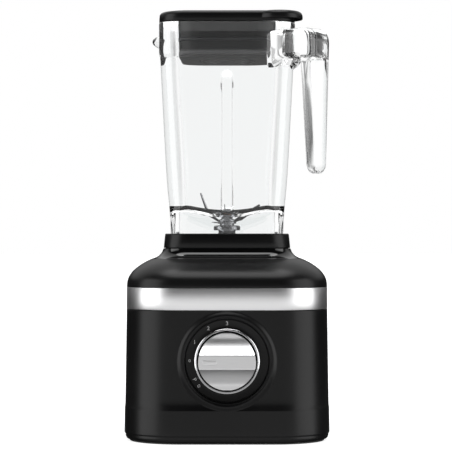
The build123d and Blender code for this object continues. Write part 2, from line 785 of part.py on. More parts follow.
def wing(spec):
    """One blade wing: a bent strip that tapers towards its tip."""
    path = ((3.0, 0.0), *spec.path)
    tip = spec.path[-1][0] + 2
    profile = Plane.XZ * make_face(Polyline(strip_profile(path, BLADE_THICKNESS), close=True))
    strip = extrude(profile, spec.root_width, both=True)
    half, narrow = spec.root_width / 2, spec.tip_width / 2
    plan = Polyline((0, -half), (8.0, -half), (tip, -narrow), (tip, narrow), (8.0, half * 0.55),
                    (0, half * 0.55), close=True)
    body = strip & Pos(0, 0, -20) * extrude(make_face(plan), 60)
    return along(spec.angle, Pos(0, 0, spec.root_z) * body)


def upright_wing():
    """A wing turned on edge, rising to a point."""
    side = Polyline(
        (3.0, -0.9), (13.0, -0.9), (24.0, 17.6), (22.6, 18.2), (11.0, 4.6), (9.2, 0.9), (3.0, 0.9), close=True,
    )
    body = extrude(Plane.XZ * make_face(side), BLADE_THICKNESS / 2, both=True)
    return along(UPRIGHT_WING_ANGLE, Pos(0, 0, LOWER_WING.root_z) * body)


def blade(wings, low, high):
    """A flat hub with its wings, bored for the shaft."""
    body = joined([disc(8.5, low, high), *wings])
    return body - disc(3.0, 180.0, 240.0)


def upper_blade():
    """The upper blade, with its long rising wing and its bent-up wing."""
    return blade([wing(spec) for spec in UPPER_WINGS], 195.3, 197.1)


def lower_blade():
    """The lower blade, with one upright wing and one level wing."""
    return blade([wing(LOWER_WING), upright_wing()], 193.5, 195.3)


def blade_shaft():
    """Stepped steel shaft from the coupling to the blade nut."""
    body = joined([
        disc(SHAFT_RADIUS, 166.4, 192.0),
        disc(6.5, 192.0, 193.5),
        disc(3.0, 193.5, 203.0),
    ])
    return body


def blade_washer():
    """Washer between the upper blade and the nut."""
    return ring(6.2, 3.0, 197.1, 198.0)


def blade_nut():
    """Domed cap nut that clamps the blades."""
    body = Pos(0, 0, 198.0) * extrude(RegularPolygon(6.2, 6), 6.0)
    body = body & revolved([(0, 197.0), (7.0, 197.0), (7.0, 201.6), (3.6, 204.2), (0, 204.2)])
    return body - disc(3.0, 190.0, 203.0)


def driven_coupling():
    """Toothed stub on the blade shaft that sits in the motor's socket."""
    stub = toothed(12.2, 9.6, 8, 3.8, 166.4, 172.2)
    return stub + disc(7.0, 172.2, 173.6) - disc(SHAFT_RADIUS, 160.0, 180.0)


# ---- lid and cap ---------------------------------------------------------------------
def thumb_tab():
    """Dished tongue over the handle, hollow underneath."""
    body = disc(TAB_RADIUS, 374.4, LID_TOP_Z, TAB_REACH, 0)
    body = fillet(body.edges().sort_by(Axis.Z)[-1], 4.0)
    hollow = disc(TAB_RADIUS - 2.0, 370.0, 379.4, TAB_REACH, 0)
    return along(HANDLE_ANGLE, body), along(HANDLE_ANGLE, hollow)


def lid_shell():
    """The lid's cover: a band with a rounded top edge."""
    body = tapered([square(JAR_RIM_Z + BODY_GAP, JAR_RIM_HALF, LID_RADIUS), square(LID_TOP_Z, JAR_RIM_HALF - 0.8, LID_RADIUS)])
    return fillet(body.faces().sort_by(Axis.Z)[-1].edges(), 3.4)


def lid():
    """Lid cover with its thumb tab, open in the middle for the cap."""
    cover = lid_shell()
    tab, tab_hollow = thumb_tab()
    low = JAR_RIM_Z + BODY_GAP
    under = tapered([
        square(low - 1, JAR_RIM_HALF - 2.4, LID_RADIUS),
        square(COVER_UNDER_Z, JAR_RIM_HALF - 3.0, LID_RADIUS),
    ])
    body = cover + tab - (tab_hollow - cover) - under
    body = body - disc(CAP_TUBE_RADIUS + 2.0, 300.0, 400.0)
    return body - ring(32.6, 24.0, LID_TOP_Z - 1.2, 400.0)


def plug_space(low, high, inward=0.0):
    """The space of the lid's plug between two heights, moved inward by a wall thickness."""
    leg = PLUG_CHAMFER - 0.586 * inward
    return loft([
        cut_square(low, PLUG_HALF - 0.6 - inward, leg),
        cut_square(high, PLUG_HALF - inward, leg),
    ])


def lid_plug():
    """Plug under the cover: a square cup with grooves for the sealing ribs."""
    body = plug_space(PLUG_BOTTOM_Z, COVER_UNDER_Z)
    body = body - plug_space(PLUG_BOTTOM_Z + PLUG_WALL, COVER_UNDER_Z, PLUG_WALL)
    body = body - disc(CAP_TUBE_RADIUS + 2.0, 300.0, 400.0)
    for level in GASKET_LEVELS:
        body = body - gasket(level)
    return body


def filler_tube():
    """Round tube between the plug's floor and the cover, which the cap's own tube fills."""
    bore = CAP_TUBE_RADIUS + 2.0
    return ring(bore + FILLER_TUBE_WALL, bore, PLUG_BOTTOM_Z + PLUG_WALL, COVER_UNDER_Z)


def gasket(level):
    """One sealing rib round the plug."""
    low, high = level - 1.6, level + 1.6
    outer = loft([cut_square(z, PLUG_HALF + 1.6, PLUG_CHAMFER + 0.8) for z in (low, high)])
    inner = loft([cut_square(z, PLUG_HALF - 1.4, PLUG_CHAMFER) for z in (low - 1, high + 1)])
    return outer - inner


def lid_gaskets():
    """Two rubber sealing ribs in the plug's grooves."""
    return group([gasket(level) for level in GASKET_LEVELS])


def ingredient_cap():
    """Round cap with a measuring tube that drops into the lid."""
    dome_radius = 240.0
    top = disc(32.0, LID_TOP_Z - 0.9, CAP_TOP_Z)
    dome = Pos(0, 0, CAP_TOP_Z - dome_radius) * Sphere(dome_radius)
    top = top & dome
    tube = ring(CAP_TUBE_RADIUS, CAP_TUBE_RADIUS - 2.0, 340.0, LID_TOP_Z)
    dish = disc(CAP_TUBE_RADIUS - 2.0, 340.0, LID_TOP_Z + 1.2)
    return top + tube - dish


# ---- export --------------------------------------------------------------------------
NODES = {
    "lower_housing": lower_housing,
    "upper_housing": upper_housing,
    "trim_band": trim_band,
    "neck_ring": neck_ring,
    "deck_seal": deck_seal,
    "base_plate": base_plate,
    "foot_ring": foot_ring_body,
    "base_screws": base_screws,
    "cord_gland": cord_gland,
    "dial_bezel": dial_bezel,
    "upper_motor_bracket": upper_motor_bracket,
    "lower_motor_bracket": lower_motor_bracket,
    "stator_core": stator_core,
    "field_coils": field_coils,
    "brush_holders": brush_holders,
    "carbon_brushes": carbon_brushes,
    "brush_springs": brush_springs,
    "upper_bearing": lambda: ball_bearing(143.5),
    "lower_bearing": lambda: ball_bearing(62.5),
    "motor_mounts": motor_mounts,
    "motor_screws": motor_screws,
    "fan_shroud": fan_shroud,
    "control_board": control_board,
    "board_screws": board_screws,
    "speed_switch": speed_switch,
    "switch_nut": switch_nut,
    "motor_shaft": motor_shaft,
    "armature_core": armature_core,
    "armature_windings": armature_windings,
    "commutator": commutator,
    "cooling_fan": cooling_fan,
    "drive_coupling": drive_coupling,
    "knob": knob,
    "knob_core": knob_core,
    "knob_spindle": knob_spindle,
    "knob_clip": knob_clip,
    "jar": jar,
    "jar_collar": jar_collar,
    "collar_screws": collar_screws,
    "jar_seal": jar_seal,
    "bearing_housing": bearing_housing,
    "shaft_bushes": shaft_bushes,
    "shaft_seal": shaft_seal,
    "housing_nut": housing_nut,
    "blade_shaft": blade_shaft,
    "lower_blade": lower_blade,
    "upper_blade": upper_blade,
    "blade_washer": blade_washer,
    "blade_nut": blade_nut,
    "driven_coupling": driven_coupling,
    "lid": lid,
    "lid_plug": lid_plug,
    "filler_tube": filler_tube,
    "lid_gaskets": lid_gaskets,
    "ingredient_cap": ingredient_cap,
}


def main():
    """Build each node and write it to its own STEP file."""
    os.makedirs("parts", exist_ok=True)
    for name, make in NODES.items():
        shape = make()
        export_step(shape, f"parts/{name}.step")
        print(f"{name}: {shape.volume:.0f} mm3")


if __name__ == "__main__":
    main()
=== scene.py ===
import json
import logging
from dataclasses import dataclass, field
from enum import Enum
from math import cos, hypot, pi, radians, sin, sqrt, tan
from typing import Iterable, Mapping, Sequence

import bmesh
import bpy
from mathutils import Matrix, Vector


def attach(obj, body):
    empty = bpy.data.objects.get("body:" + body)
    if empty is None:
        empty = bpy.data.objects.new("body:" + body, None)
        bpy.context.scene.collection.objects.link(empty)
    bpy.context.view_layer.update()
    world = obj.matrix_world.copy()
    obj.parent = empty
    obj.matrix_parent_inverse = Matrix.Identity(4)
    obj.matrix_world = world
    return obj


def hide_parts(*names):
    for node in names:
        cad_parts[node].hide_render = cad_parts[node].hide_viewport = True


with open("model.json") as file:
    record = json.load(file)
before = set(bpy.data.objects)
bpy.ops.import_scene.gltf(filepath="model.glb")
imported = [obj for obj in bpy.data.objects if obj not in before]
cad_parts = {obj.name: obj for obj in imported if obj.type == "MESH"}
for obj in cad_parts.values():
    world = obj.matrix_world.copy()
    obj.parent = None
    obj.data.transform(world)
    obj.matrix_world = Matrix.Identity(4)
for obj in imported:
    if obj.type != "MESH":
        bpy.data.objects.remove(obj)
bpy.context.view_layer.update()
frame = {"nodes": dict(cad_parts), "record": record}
MM = 0.001

log = logging.getLogger("blender_scene")

Colour = tuple[float, float, float]
Points = list[Vector]


# ---- shader writing -----------------------------------------------------------------
class Wire:
    """A shader socket that takes part in Python arithmetic."""

    def __init__(self, shop: "NodeShop", socket: bpy.types.NodeSocket) -> None:
        """Wrap a socket of a node in the given shop."""
        self.shop = shop
        self.socket = socket

    def _math(self, operation: str, first: object, second: object) -> "Wire":
        """Add one Math node.

        Args:
            operation: The Math node's operation.
            first: A number or a wire.
            second: A number or a wire.

        Returns:
            The wire of the result.
        """
        return self.shop.make("ShaderNodeMath", {"operation": operation}, {0: first, 1: second})

    def __add__(self, other: object) -> "Wire":
        """Sum."""
        return self._math("ADD", self, other)

    def __radd__(self, other: object) -> "Wire":
        """Sum with a number on the left."""
        return self._math("ADD", other, self)

    def __sub__(self, other: object) -> "Wire":
        """Difference."""
        return self._math("SUBTRACT", self, other)

    def __rsub__(self, other: object) -> "Wire":
        """Difference with a number on the left."""
        return self._math("SUBTRACT", other, self)

    def __mul__(self, other: object) -> "Wire":
        """Product."""
        return self._math("MULTIPLY", self, other)

    def __rmul__(self, other: object) -> "Wire":
        """Product with a number on the left."""
        return self._math("MULTIPLY", other, self)


class NodeShop:
    """Makes the nodes of one material."""

    def __init__(self, name: str) -> None:
        """Start an empty node material of the given name.

        Args:
            name: The material's name.
        """
        self.material = bpy.data.materials.new(name)
        self.material.use_nodes = True
        self.tree = self.material.node_tree
        self.tree.nodes.clear()

    def make(self, kind: str, settings: Mapping[str, object] | None = None,
             sockets: Mapping[object, object] | None = None, output: object = 0) -> Wire:
        """Make a node, set it, and fill its sockets.

        Args:
            kind: The node's type.
            settings: Properties to set first; "stops" sets a ramp's (position, value) stops.
            sockets: Input sockets by name or index, with values or wires.
            output: The output socket to return, by name or index.

        Returns:
            The wire of the chosen output.
        """
        node = self.tree.nodes.new(kind)
        for key, value in (settings or {}).items():
            if key == "stops":
                self._stops(node, value)
            else:
                setattr(node, key, value)
        for key, value in (sockets or {}).items():
            if isinstance(value, Wire):
                self.tree.links.new(value.socket, node.inputs[key])
            else:
                node.inputs[key].default_value = value
        outputs = node.outputs
        return Wire(self, outputs[output]) if len(outputs) else Wire(self, None)

    def _stops(self, node: bpy.types.Node, stops: Sequence[tuple[float, float]]) -> None:
        """Set a colour ramp's grey stops.

        Args:
            node: The ramp node.
            stops: Position and grey of each stop, in order.
        """
        elements = node.color_ramp.elements
        while len(elements) < len(stops):
            elements.new(0.5)
        for element, (position, value) in zip(elements, stops):
            element.position = position
            element.color = (value, value, value, 1.0)

    def maths(self, operation: str, first: object, second: object = 0.0) -> Wire:
        """Any other Math node of two values."""
        return self.make("ShaderNodeMath", {"operation": operation}, {0: first, 1: second})

    def noise(self, scale: float, detail: float = 3.0, stretch: Colour = (1.0, 1.0, 1.0)) -> Wire:
        """Noise on Object coordinates.

        Args:
            scale: Cycles per metre.
            detail: Octaves.
            stretch: Scale along each axis.

        Returns:
            The noise value, from 0 to 1.
        """
        place = self.make("ShaderNodeTexCoord", output="Object")
        mapped = self.make("ShaderNodeMapping", None, {"Vector": place, "Scale": stretch})
        return self.make("ShaderNodeTexNoise", None, {"Vector": mapped, "Scale": scale, "Detail": detail})

    def ramp(self, value: Wire, *stops: tuple[float, float]) -> Wire:
        """A grey ramp from a value."""
        return self.make("ShaderNodeValToRGB", {"stops": stops}, {"Fac": value})

    def mix(self, factor: object, first: Colour, second: Colour) -> Wire:
        """Mix two colours.

        Args:
            factor: How much of the second colour, as a number or a wire.
            first: Colour at 0.
            second: Colour at 1.

        Returns:
            The mixed colour's wire.
        """
        settings = {"data_type": "RGBA"}
        sockets = {0: factor, 6: (*first, 1.0), 7: (*second, 1.0)}
        return self.make("ShaderNodeMix", settings, sockets, output=2)

    def bump(self, height: Wire, distance: float, strength: float = 1.0) -> Wire:
        """A bump normal.

        Args:
            height: The height, from 0 to 1.
            distance: Depth in metres.
            strength: How much of it shows.

        Returns:
            The normal's wire.
        """
        return self.make("ShaderNodeBump", None,
                         {"Height": height, "Distance": distance, "Strength": strength})

    def surface(self, sockets: Mapping[object, object]) -> bpy.types.Material:
        """Finish the material with one Principled surface.

        Args:
            sockets: The Principled node's values and wires.

        Returns:
            The finished material.
        """
        shader = self.make("ShaderNodeBsdfPrincipled", None, sockets)
        return self.output(shader)

    def output(self, shader: Wire) -> bpy.types.Material:
        """Connect a shader to the material's output."""
        self.make("ShaderNodeOutputMaterial", None, {"Surface": shader})
        return self.material


# ---- finishes -----------------------------------------------------------------------
@dataclass(frozen=True)
class MouldedPlastic:
    """Opaque moulded plastic with a fine spark-eroded grain."""

    name: str
    colour: Colour
    roughness: float = 0.4
    grain: float = 900.0
    depth: float = 0.00002
    specular: float = 0.4
    coat: float = 0.0

    def build(self) -> bpy.types.Material:
        """Make the material.

        Returns:
            The finished material.
        """
        shop = NodeShop(self.name)
        grain = shop.noise(self.grain, 4.0)
        cloud = shop.noise(14.0, 3.0)
        lighter = tuple(min(1.0, c * 1.35 + 0.001) for c in self.colour)
        return shop.surface({
            "Base Color": shop.mix(shop.ramp(cloud, (0.35, 0.0), (0.7, 1.0)), self.colour, lighter),
            "Roughness": self.roughness + (grain - 0.5) * 0.10 + (cloud - 0.5) * 0.05,
            "Specular IOR Level": self.specular,
            "Coat Weight": self.coat,
            "Coat Roughness": 0.04,
            "Normal": shop.bump(grain, self.depth, 0.6),
        })


@dataclass(frozen=True)
class WorkedMetal:
    """Metal with fine working marks that run along one direction."""

    name: str
    colour: Colour
    roughness: float = 0.25
    stretch: Colour = (1.0, 1.0, 1.0)
    marks: float = 600.0
    depth: float = 0.00001
    streak: float = 0.12

    def build(self) -> bpy.types.Material:
        """Make the material.

        Returns:
            The finished material.
        """
        shop = NodeShop(self.name)
        marks = shop.noise(self.marks, 6.0, self.stretch)
        cloud = shop.noise(9.0, 2.0)
        darker = tuple(c * (1.0 - self.streak) for c in self.colour)
        streaks = shop.ramp(marks, (0.3, 0.0), (0.7, 1.0))
        return shop.surface({
            "Base Color": shop.mix(streaks, darker, self.colour),
            "Metallic": 1.0,
            "Roughness": self.roughness + (marks - 0.5) * 0.12 + (cloud - 0.5) * 0.04,
            "Normal": shop.bump(marks, self.depth, 0.5),
        })


@dataclass(frozen=True)
class ClearPlastic:
    """Water-clear moulded plastic."""

    name: str
    colour: Colour = (0.985, 0.99, 0.99)
    roughness: float = 0.01
    ior: float = 1.49

    def build(self) -> bpy.types.Material:
        """Make the material.

        Returns:
            The finished material.
        """
        shop = NodeShop(self.name)
        ripple = shop.noise(26.0, 2.0)
        haze = shop.noise(60.0, 3.0)
        body = shop.make("ShaderNodeBsdfPrincipled", None, {
            "Base Color": (*self.colour, 1.0),
            "Roughness": self.roughness + haze * 0.01,
            "IOR": self.ior,
            "Transmission Weight": 1.0,
            "Normal": shop.bump(ripple, 0.00025, 0.12),
        })
        shadow = shop.make("ShaderNodeLightPath", output="Is Shadow Ray")
        gloss = shop.make("ShaderNodeLightPath", output="Is Glossy Ray")
        spread = shop.make("ShaderNodeLightPath", output="Is Diffuse Ray")
        clear = shop.make("ShaderNodeBsdfTransparent", None, {"Color": (0.97, 0.975, 0.975, 1.0)})
        depth = shop.make("ShaderNodeLightPath", output="Transmission Depth")
        outside = 1.0 - shop.maths("MODULO", depth, 2.0)
        through = shop.maths("MINIMUM", shadow + gloss * outside + spread, 1.0)
        return shop.output(shop.make("ShaderNodeMixShader", None, {0: through, 1: body, 2: clear}))


@dataclass(frozen=True)
class SoftRubber:
    """Moulded rubber or silicone with a dusty skin."""

    name: str
    colour: Colour = (0.018, 0.018, 0.018)
    roughness: float = 0.6

    def build(self) -> bpy.types.Material:
        """Make the material.

        Returns:
            The finished material.
        """
        shop = NodeShop(self.name)
        skin = shop.noise(420.0, 5.0)
        dust = shop.noise(30.0, 3.0)
        dusty = tuple(c * 1.8 + 0.004 for c in self.colour)
        return shop.surface({
            "Base Color": shop.mix(shop.ramp(dust, (0.45, 0.0), (0.75, 1.0)), self.colour, dusty),
            "Roughness": self.roughness + (skin - 0.5) * 0.2,
            "Specular IOR Level": 0.3,
            "Normal": shop.bump(skin, 0.00003, 0.5),
        })


@dataclass(frozen=True)
class PrintedMark:
    """Pad-printed ink."""

    name: str
    colour: Colour = (0.62, 0.62, 0.62)

    def build(self) -> bpy.types.Material:
        """Make the material.

        Returns:
            The finished material.
        """
        shop = NodeShop(self.name)
        wear = shop.noise(900.0, 3.0)
        worn = tuple(c * 0.75 for c in self.colour)
        return shop.surface({
            "Base Color": shop.mix(shop.ramp(wear, (0.4, 0.0), (0.6, 1.0)), worn, self.colour),
            "Roughness": 0.45 + wear * 0.2,
        })


class Paint(Enum):
    """The finishes used on the object, by the record's material slots."""

    BLACK_PLASTIC = MouldedPlastic("satin_black", (0.0022, 0.0022, 0.0023), 0.32, specular=0.22)
    GLOSS_BLACK = MouldedPlastic("gloss_black", (0.0008, 0.0008, 0.0009), 0.08, 300.0, 0.000002, 0.5)
    ALUMINIUM = WorkedMetal("brushed_aluminium", (0.80, 0.80, 0.805), 0.36, (0.004, 0.004, 1.0), 3200.0,
                            0.000003, 0.04)
    SATIN_METAL = WorkedMetal("satin_silver", (0.74, 0.74, 0.745), 0.42, (0.05, 1.0, 1.0), 1500.0, 0.000004,
                              0.05)
    CHROME = WorkedMetal("polished_chrome", (0.66, 0.66, 0.67), 0.16, (1.0, 1.0, 1.0), 200.0, 0.000003, 0.03)
    STEEL = WorkedMetal("ground_steel", (0.22, 0.22, 0.23), 0.24, (1.0, 0.15, 1.0), 1800.0, 0.00001, 0.2)
    ZINC = WorkedMetal("zinc_plate", (0.52, 0.54, 0.57), 0.35, (1.0, 1.0, 1.0), 500.0, 0.00002, 0.2)
    RUBBER = SoftRubber("black_rubber")
    SILICONE = SoftRubber("dark_silicone", (0.012, 0.012, 0.013), 0.42)
    CLEAR = ClearPlastic("clear_jar")
    LAMINATION = WorkedMetal("laminated_steel", (0.26, 0.27, 0.30), 0.4, (0.02, 0.02, 1.0), 1600.0, 0.00012,
                             0.5)
    COPPER = WorkedMetal("enamelled_copper", (0.62, 0.24, 0.09), 0.28, (0.05, 0.05, 1.0), 900.0, 0.0002, 0.45)
    BRASS = WorkedMetal("turned_brass", (0.74, 0.56, 0.26), 0.24, (1.0, 1.0, 0.1), 900.0, 0.00002, 0.2)
    BRONZE = WorkedMetal("sintered_bronze", (0.50, 0.34, 0.17), 0.45, (1.0, 1.0, 1.0), 1400.0, 0.00006, 0.4)
    CARBON = MouldedPlastic("pressed_carbon", (0.02, 0.02, 0.023), 0.55, 1500.0, 0.00004)
    BOARD = MouldedPlastic("solder_mask", (0.012, 0.10, 0.035), 0.3, 120.0, 0.00004, 0.5, 0.2)
    NYLON = MouldedPlastic("natural_nylon", (0.52, 0.50, 0.44), 0.48, 500.0, 0.00003)
    INK = PrintedMark("dial_ink")

    @property
    def slot(self) -> str:
        """The record's slot of the same name; the ink is light like the nylon."""
        return "nylon" if self is Paint.INK else self.name.lower()


class PaintShelf:
    """Makes each finish once and hands it out."""

    def __init__(self) -> None:
        """Start with no material made."""
        self.made: dict[Paint, bpy.types.Material] = {}

    def take(self, paint: Paint) -> bpy.types.Material:
        """Give the material of a finish, making it on first use.

        Args:
            paint: The finish.

        Returns:
            Its material.
        """
        if paint not in self.made:
            self.made[paint] = paint.value.build()
        return self.made[paint]


SHELF = PaintShelf()


# ---- mesh tools ---------------------------------------------------------------------
@dataclass(frozen=True)
class Station:
    """One horizontal section of a rounded square body, in millimetres."""

    z: float
    half_x: float
    half_y: float
    radius: float


def square(z: float, half: float, radius: float) -> Station:
    """A station with the same half-width both ways."""
    return Station(z, half, half, radius)


def smooth_stations(stations: Sequence[Station], steps: int) -> list[Station]:
    """Fill in stations along a smooth curve through the given ones.

    Args:
        stations: The sections the curve passes through.
        steps: How many parts each gap is cut into.

    Returns:
        The denser list, from the first station to the last.
    """
    dense = []
    last = len(stations) - 1
    for index in range(last):
        around = [stations[max(0, min(last, index + k))] for k in (-1, 0, 1, 2)]
        for step in range(steps):
            t = step / steps
            dense.append(Station(*(catmull(t, *(getattr(s, name) for s in around))
                                   for name in ("z", "half_x", "half_y", "radius"))))
    dense.append(stations[-1])
    return dense


def catmull(t: float, a: float, b: float, c: float, d: float) -> float:
    """One value of a Catmull-Rom curve between b and c."""
    return 0.5 * (2 * b + (c - a) * t + (2 * a - 5 * b + 4 * c - d) * t * t
                  + (3 * b - a - 3 * c + d) * t ** 3)


def along_side(step: int, side: int) -> float:
    """Place of a point along a side, from -1 to 1, closer together in the middle of a finely cut side."""
    share = 2 * step / side - 1
    return share * (0.35 + 0.65 * share ** 2) if side > 24 else share


def outline(station: Station, side: int = 10, corner: int = 12) -> Points:
    """The points round one section, counter-clockwise seen from above.

    Args:
        station: The section.
        side: Parts along each straight side.
        corner: Parts round each corner.

    Returns:
        The points, in metres.
    """
    points = []
    flat_x, flat_y = station.half_x - station.radius, station.half_y - station.radius
    for quarter in range(4):
        turn = quarter * pi / 2
        across, ahead = (flat_y, flat_x) if quarter % 2 == 0 else (flat_x, flat_y)
        reach = ahead + station.radius
        for step in range(side):
            point = Vector((reach, across * along_side(step, side), 0))
            points.append(Matrix.Rotation(turn, 3, "Z") @ point)
        for step in range(corner):
            angle = step / corner * pi / 2
            point = Vector((ahead + station.radius * cos(angle), across + station.radius * sin(angle), 0))
            points.append(Matrix.Rotation(turn, 3, "Z") @ point)
    return [(p + Vector((0, 0, station.z))) * MM for p in points]


def cut_outline(station: Station, side: int = 10, corner: int = 14) -> Points:
    """The points round a square with slanted corners, the slants blended into the sides.

    Args:
        station: The section; its radius is the length cut off each side.
        side: Parts along each straight side.
        corner: Parts along each slanted corner, both blends included.

    Returns:
        The points, in metres.
    """
    half, leg, blend = station.half_x, station.radius, 7.0
    near = half - leg - blend * tan(pi / 8)
    arc = (corner - 4) // 2
    quarter = [Vector((half, near * along_side(step, side), 0)) for step in range(side)]
    turns = [step / arc * pi / 4 for step in range(arc)]
    first = [Vector((half - blend + blend * cos(a), near + blend * sin(a), 0)) for a in turns]
    later = [turn + pi / 4 for turn in turns]
    second = [Vector((near + blend * cos(a), half - blend + blend * sin(a), 0)) for a in later]
    start = Vector((half - blend + blend * cos(pi / 4), near + blend * sin(pi / 4), 0))
    slant = [start.lerp(second[0], step / 4) for step in range(corner - 2 * arc)]
    quarter += first + slant + second
    points = []
    for index in range(4):
        turn = Matrix.Rotation(index * pi / 2, 3, "Z")
        points += [(turn @ p + Vector((0, 0, station.z))) * MM for p in quarter]
    return points


class MeshBench:
    """Builds one mesh from rings of points."""

    def __init__(self) -> None:
        """Start with an empty mesh."""
        self.bm = bmesh.new()

    def skin(self, rings: Sequence[Points], loop: bool = False, start_cap: bool = False,
             end_cap: bool = False) -> "MeshBench":
        """Join rings of equal length with quads.

        Args:
            rings: The rings, in order.
            loop: Whether the last ring joins the first.
            start_cap: Whether the first ring is closed with a fan.
            end_cap: Whether the last ring is closed with a fan.

        Returns:
            The bench, for chaining.
        """
        rows = [[self.bm.verts.new(p) for p in ring] for ring in rings]
        pairs = list(zip(rows, rows[1:]))
        if loop:
            pairs.append((rows[-1], rows[0]))
        count = len(rows[0])
        for low, high in pairs:
            for i in range(count):
                j = (i + 1) % count
                self.bm.faces.new((low[i], low[j], high[j], high[i]))
        if start_cap:
            self._fan(rows[0])
        if end_cap:
            self._fan(rows[-1])
        return self

    def _fan(self, row: Sequence[bmesh.types.BMVert]) -> None:
        """Close a ring with triangles to its middle.

        Args:
            row: The ring of vertices, in order.
        """
        middle = sum((v.co for v in row), Vector()) / len(row)
        centre = self.bm.verts.new(middle)
        for i, vert in enumerate(row):
            self.bm.faces.new((vert, row[(i + 1) % len(row)], centre))

    def finish(self, name: str, sharp: float = 35.0) -> bpy.types.Object:
        """Turn the bench's mesh into an object.

        Args:
            name: The object's name.
            sharp: Edges sharper than this many degrees stay crisp.

        Returns:
            The object, linked to the scene.
        """
        bmesh.ops.remove_doubles(self.bm, verts=self.bm.verts, dist=1e-7)
        bmesh.ops.dissolve_degenerate(self.bm, edges=self.bm.edges, dist=1e-8)
        bmesh.ops.recalc_face_normals(self.bm, faces=self.bm.faces)
        mesh = bpy.data.meshes.new(name)
        self.bm.to_mesh(mesh)
        self.bm.free()
        return mesh_object(mesh, name, sharp)


def mesh_object(mesh: bpy.types.Mesh, name: str, sharp: float = 35.0) -> bpy.types.Object:
    """Link a mesh as an object and shade it.

    Args:
        mesh: The mesh.
        name: The object's name.
        sharp: Edges sharper than this many degrees stay crisp.

    Returns:
        The object.
    """
    mesh.name = name
    mesh.shade_smooth()
    mesh.set_sharp_from_angle(angle=radians(sharp))
    piece = bpy.data.objects.new(name, mesh)
    bpy.context.scene.collection.objects.link(piece)
    return piece


def spun(profile: Sequence[tuple[float, float]], parts: int = 96, z_shift: float = 0.0) -> list[Points]:
    """Rings of a profile turned about the drive axis.

    Args:
        profile: (radius, height) pairs in millimetres.
        parts: Parts round the turn.
        z_shift: Height added to every point, in millimetres.

    Returns:
        One ring for each pair.
    """
    rings = []
    for radius, height in profile:
        rings.append([Vector((radius * cos(2 * pi * i / parts), radius * sin(2 * pi * i / parts),
                              height + z_shift)) * MM for i in range(parts)])
    return rings


def placed(rings: Sequence[Points], matrix: Matrix) -> list[Points]:
    """Move every point of the rings by a matrix."""
    return [[matrix @ p for p in ring] for ring in rings]


def modified(piece: bpy.types.Object, kind: str, settings: Mapping[str, object]) -> bpy.types.Object:
    """Apply one modifier to a piece for good.

    Args:
        piece: The object.
        kind: The modifier's type.
        settings: The modifier's properties.

    Returns:
        The same object with its new mesh.
    """
    modifier = piece.modifiers.new(kind.lower(), kind)
    for key, value in settings.items():
        setattr(modifier, key, value)
    graph = bpy.context.evaluated_depsgraph_get()
    mesh = bpy.data.meshes.new_from_object(piece.evaluated_get(graph))
    piece.modifiers.remove(modifier)
    old = piece.data
    piece.data = mesh
    bpy.data.meshes.remove(old)
    mesh.shade_smooth()
    mesh.set_sharp_from_angle(angle=radians(35))
    return piece


def combined(piece: bpy.types.Object, tools: Iterable[bpy.types.Object], operation: str) -> bpy.types.Object:
    """Cut or join other objects into a piece, and delete them.

    Args:
        piece: The object that is kept.
        tools: The objects that are used up.
        operation: UNION, DIFFERENCE or INTERSECT.

    Returns:
        The piece.
    """
    for tool in tools:
        modified(piece, "BOOLEAN", {"object": tool, "operation": operation, "solver": "EXACT"})
        bpy.data.objects.remove(tool)
    return piece


def bevelled(piece: bpy.types.Object, width: float, segments: int = 3,
             angle: float = 30.0) -> bpy.types.Object:
    """Round a piece's sharp edges.

    Args:
        piece: The object.
        width: The bevel's width in millimetres.
        segments: Parts round the bevel.
        angle: Only edges sharper than this many degrees.

    Returns:
        The piece.
    """
    settings = {"width": width * MM, "segments": segments, "limit_method": "ANGLE",
                "angle_limit": radians(angle), "use_clamp_overlap": True}
    return modified(piece, "BEVEL", settings)


def fit(piece: bpy.types.Object, body: str, paint: Paint, *nodes: str) -> bpy.types.Object:
    """Dress a piece, ride it on its body and let it stand for CAD nodes.

    Args:
        piece: The finished object.
        body: The body it moves with.
        paint: Its finish.
        nodes: The CAD nodes it replaces.

    Returns:
        The piece.
    """
    piece.data.materials.clear()
    piece.data.materials.append(SHELF.take(paint))
    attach(piece, body)
    if nodes:
        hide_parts(*nodes)
    paint.slot
    log.info("%s rides on %s", piece.name, body)
    return piece


